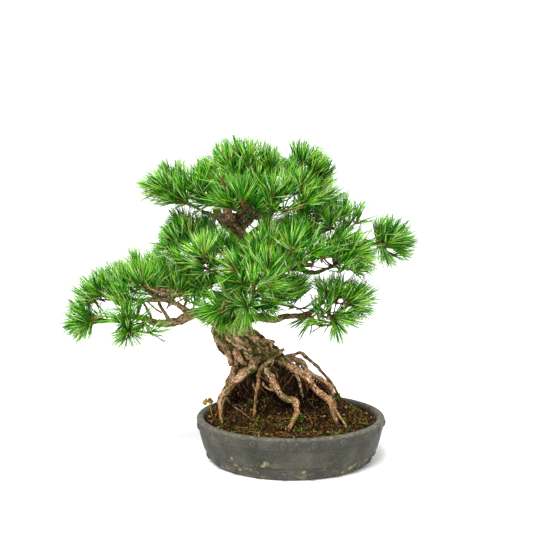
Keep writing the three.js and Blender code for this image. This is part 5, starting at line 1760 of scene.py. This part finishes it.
def make_sprouts(looks, samples):
    """Small leaves of moss in clumps on the soil and on the roots, and the seedling."""
    random = np.random.default_rng(SEED + 2)
    parts = Parts()
    for clumps, sown in ((SPROUTS, SPROUTS_SOWN), (SPROUTS_SEEN, SPROUTS_FOUND)):
        for *middle, spread in clumps:
            for _ in range(int(sown["each"] * spread)):
                place = random.normal(middle, spread * sown["scatter"])
                if clumps is SPROUTS_SEEN:
                    root = seen_on_ground(*place, samples)
                else:
                    root = np.array([*place, *soil_at([place])]) if math.hypot(*place) < PLANTED else None
                if root is not None:
                    length = random.uniform(*sown["length"])
                    add_leaf(parts, root, random, length, int(random.random() < sown["mossy"]))
    add_seedling(parts)
    parts.piece("sprouts", looks)


def make_litter(looks):
    """Fine straw and dead needles lying on the soil, each bent a little."""
    random = np.random.default_rng(SEED + 3)
    parts = Parts()
    for _ in range(LITTER_COUNT):
        x, y = scattered(random, LITTER_REACH)
        turn, length = TURN * random.random(), random.uniform(*LITTER_LENGTH)
        steps = [(x + length * s * math.cos(turn + 0.5 * s), y + length * s * math.sin(turn + 0.5 * s))
                 for s in (-0.5, -0.17, 0.17, 0.5)]
        if max(math.hypot(*step) for step in steps) > LITTER_EDGE:
            continue
        knots = [(*step, soil_height(*step) + random.uniform(*LITTER_LIFT)) for step in steps]
        add_plain(parts, Limb(knots, STRAW_RADII), 4, 6, random.choice(len(looks)))
    parts.piece("litter", looks)


# Stage

def make_stage():
    """A pale floor, even light from all sides, a soft lamp, and the photograph's camera."""
    bpy.ops.mesh.primitive_plane_add(size=FLOOR_SIZE)
    floor = bpy.context.object
    floor.name = "floor"
    floor.data.materials.append(plain_look("studio_floor", FLOOR_SHADE, 0.9, 0.1))
    world = bpy.data.worlds.new("studio") if not bpy.data.worlds else bpy.data.worlds[0]
    bpy.context.scene.world = world
    world.use_nodes = True
    light = world.node_tree.nodes["Background"].inputs
    light["Color"].default_value = (1, 1, 1, 1)
    light["Strength"].default_value = SKY_LIGHT
    lamp = bpy.data.lights.new("key", "SUN")
    lamp.energy = SUN["strength"]
    lamp.angle = math.radians(SUN["spread"])
    sun = bpy.data.objects.new("key", lamp)
    sun.rotation_euler = tuple(math.radians(angle) for angle in SUN["turn"])
    bpy.context.collection.objects.link(sun)
    camera = bpy.data.objects.new("camera", bpy.data.cameras.new("camera"))
    bpy.context.collection.objects.link(camera)
    camera.location = CAMERA["place"]
    camera.rotation_euler = (math.radians(CAMERA["tilt"]), 0, 0)
    camera.data.lens = CAMERA["lens"]
    camera.data.sensor_width = CAMERA["sensor"]
    bpy.context.scene.camera = camera
    bpy.context.scene.view_settings.view_transform = "Standard"


def main():
    make_stage()
    limbs = limbs_of_the_tree()
    masses, limb_samples = grow_masses(limbs)
    clay = stoneware()
    make_pot(clay)
    make_studs(clay)
    make_soil(soil_look(), find_spots(PAINTED_SHADE_SEEN, np.empty((0, 4))))
    make_crumbs([crumb_look(name, *tints) for name, tints in CRUMB_SHADES.items()])
    low_samples = np.vstack([limbs[name].samples(60) for name in ("trunk", *ROOTS)])
    root_samples = np.vstack([limbs[name].samples(30) for name in ROOTS])
    moss_spots = find_spots(MOSS_SEEN, low_samples)
    trunk_bark, root_bark, bough_bark = (bark_look(name, *tints) for name, tints in BARK_SHADES.items())
    make_trunk(limbs["trunk"], trunk_bark, moss_spots, root_samples)
    make_roots(limbs, root_bark, moss_spots)
    make_rootlets([root_bark, *plain_looks("fine_root", "fine_root_dark")], low_samples, moss_spots)
    make_boughs(limbs, bough_bark)
    make_twigs(masses, plain_looks("twig_bark", "shoot_scales"))
    needle_looks = [plain_look(name, tint, *NEEDLE_FINISH) for name, tint in NEEDLE_SHADES.items()]
    make_needles(masses, limb_samples, needle_looks)
    make_sprouts(plain_looks("sprout_green", "moss_green", "leaf_brown"), low_samples)
    make_litter(plain_looks("straw", "dead_needle", "dark_straw"))


main()
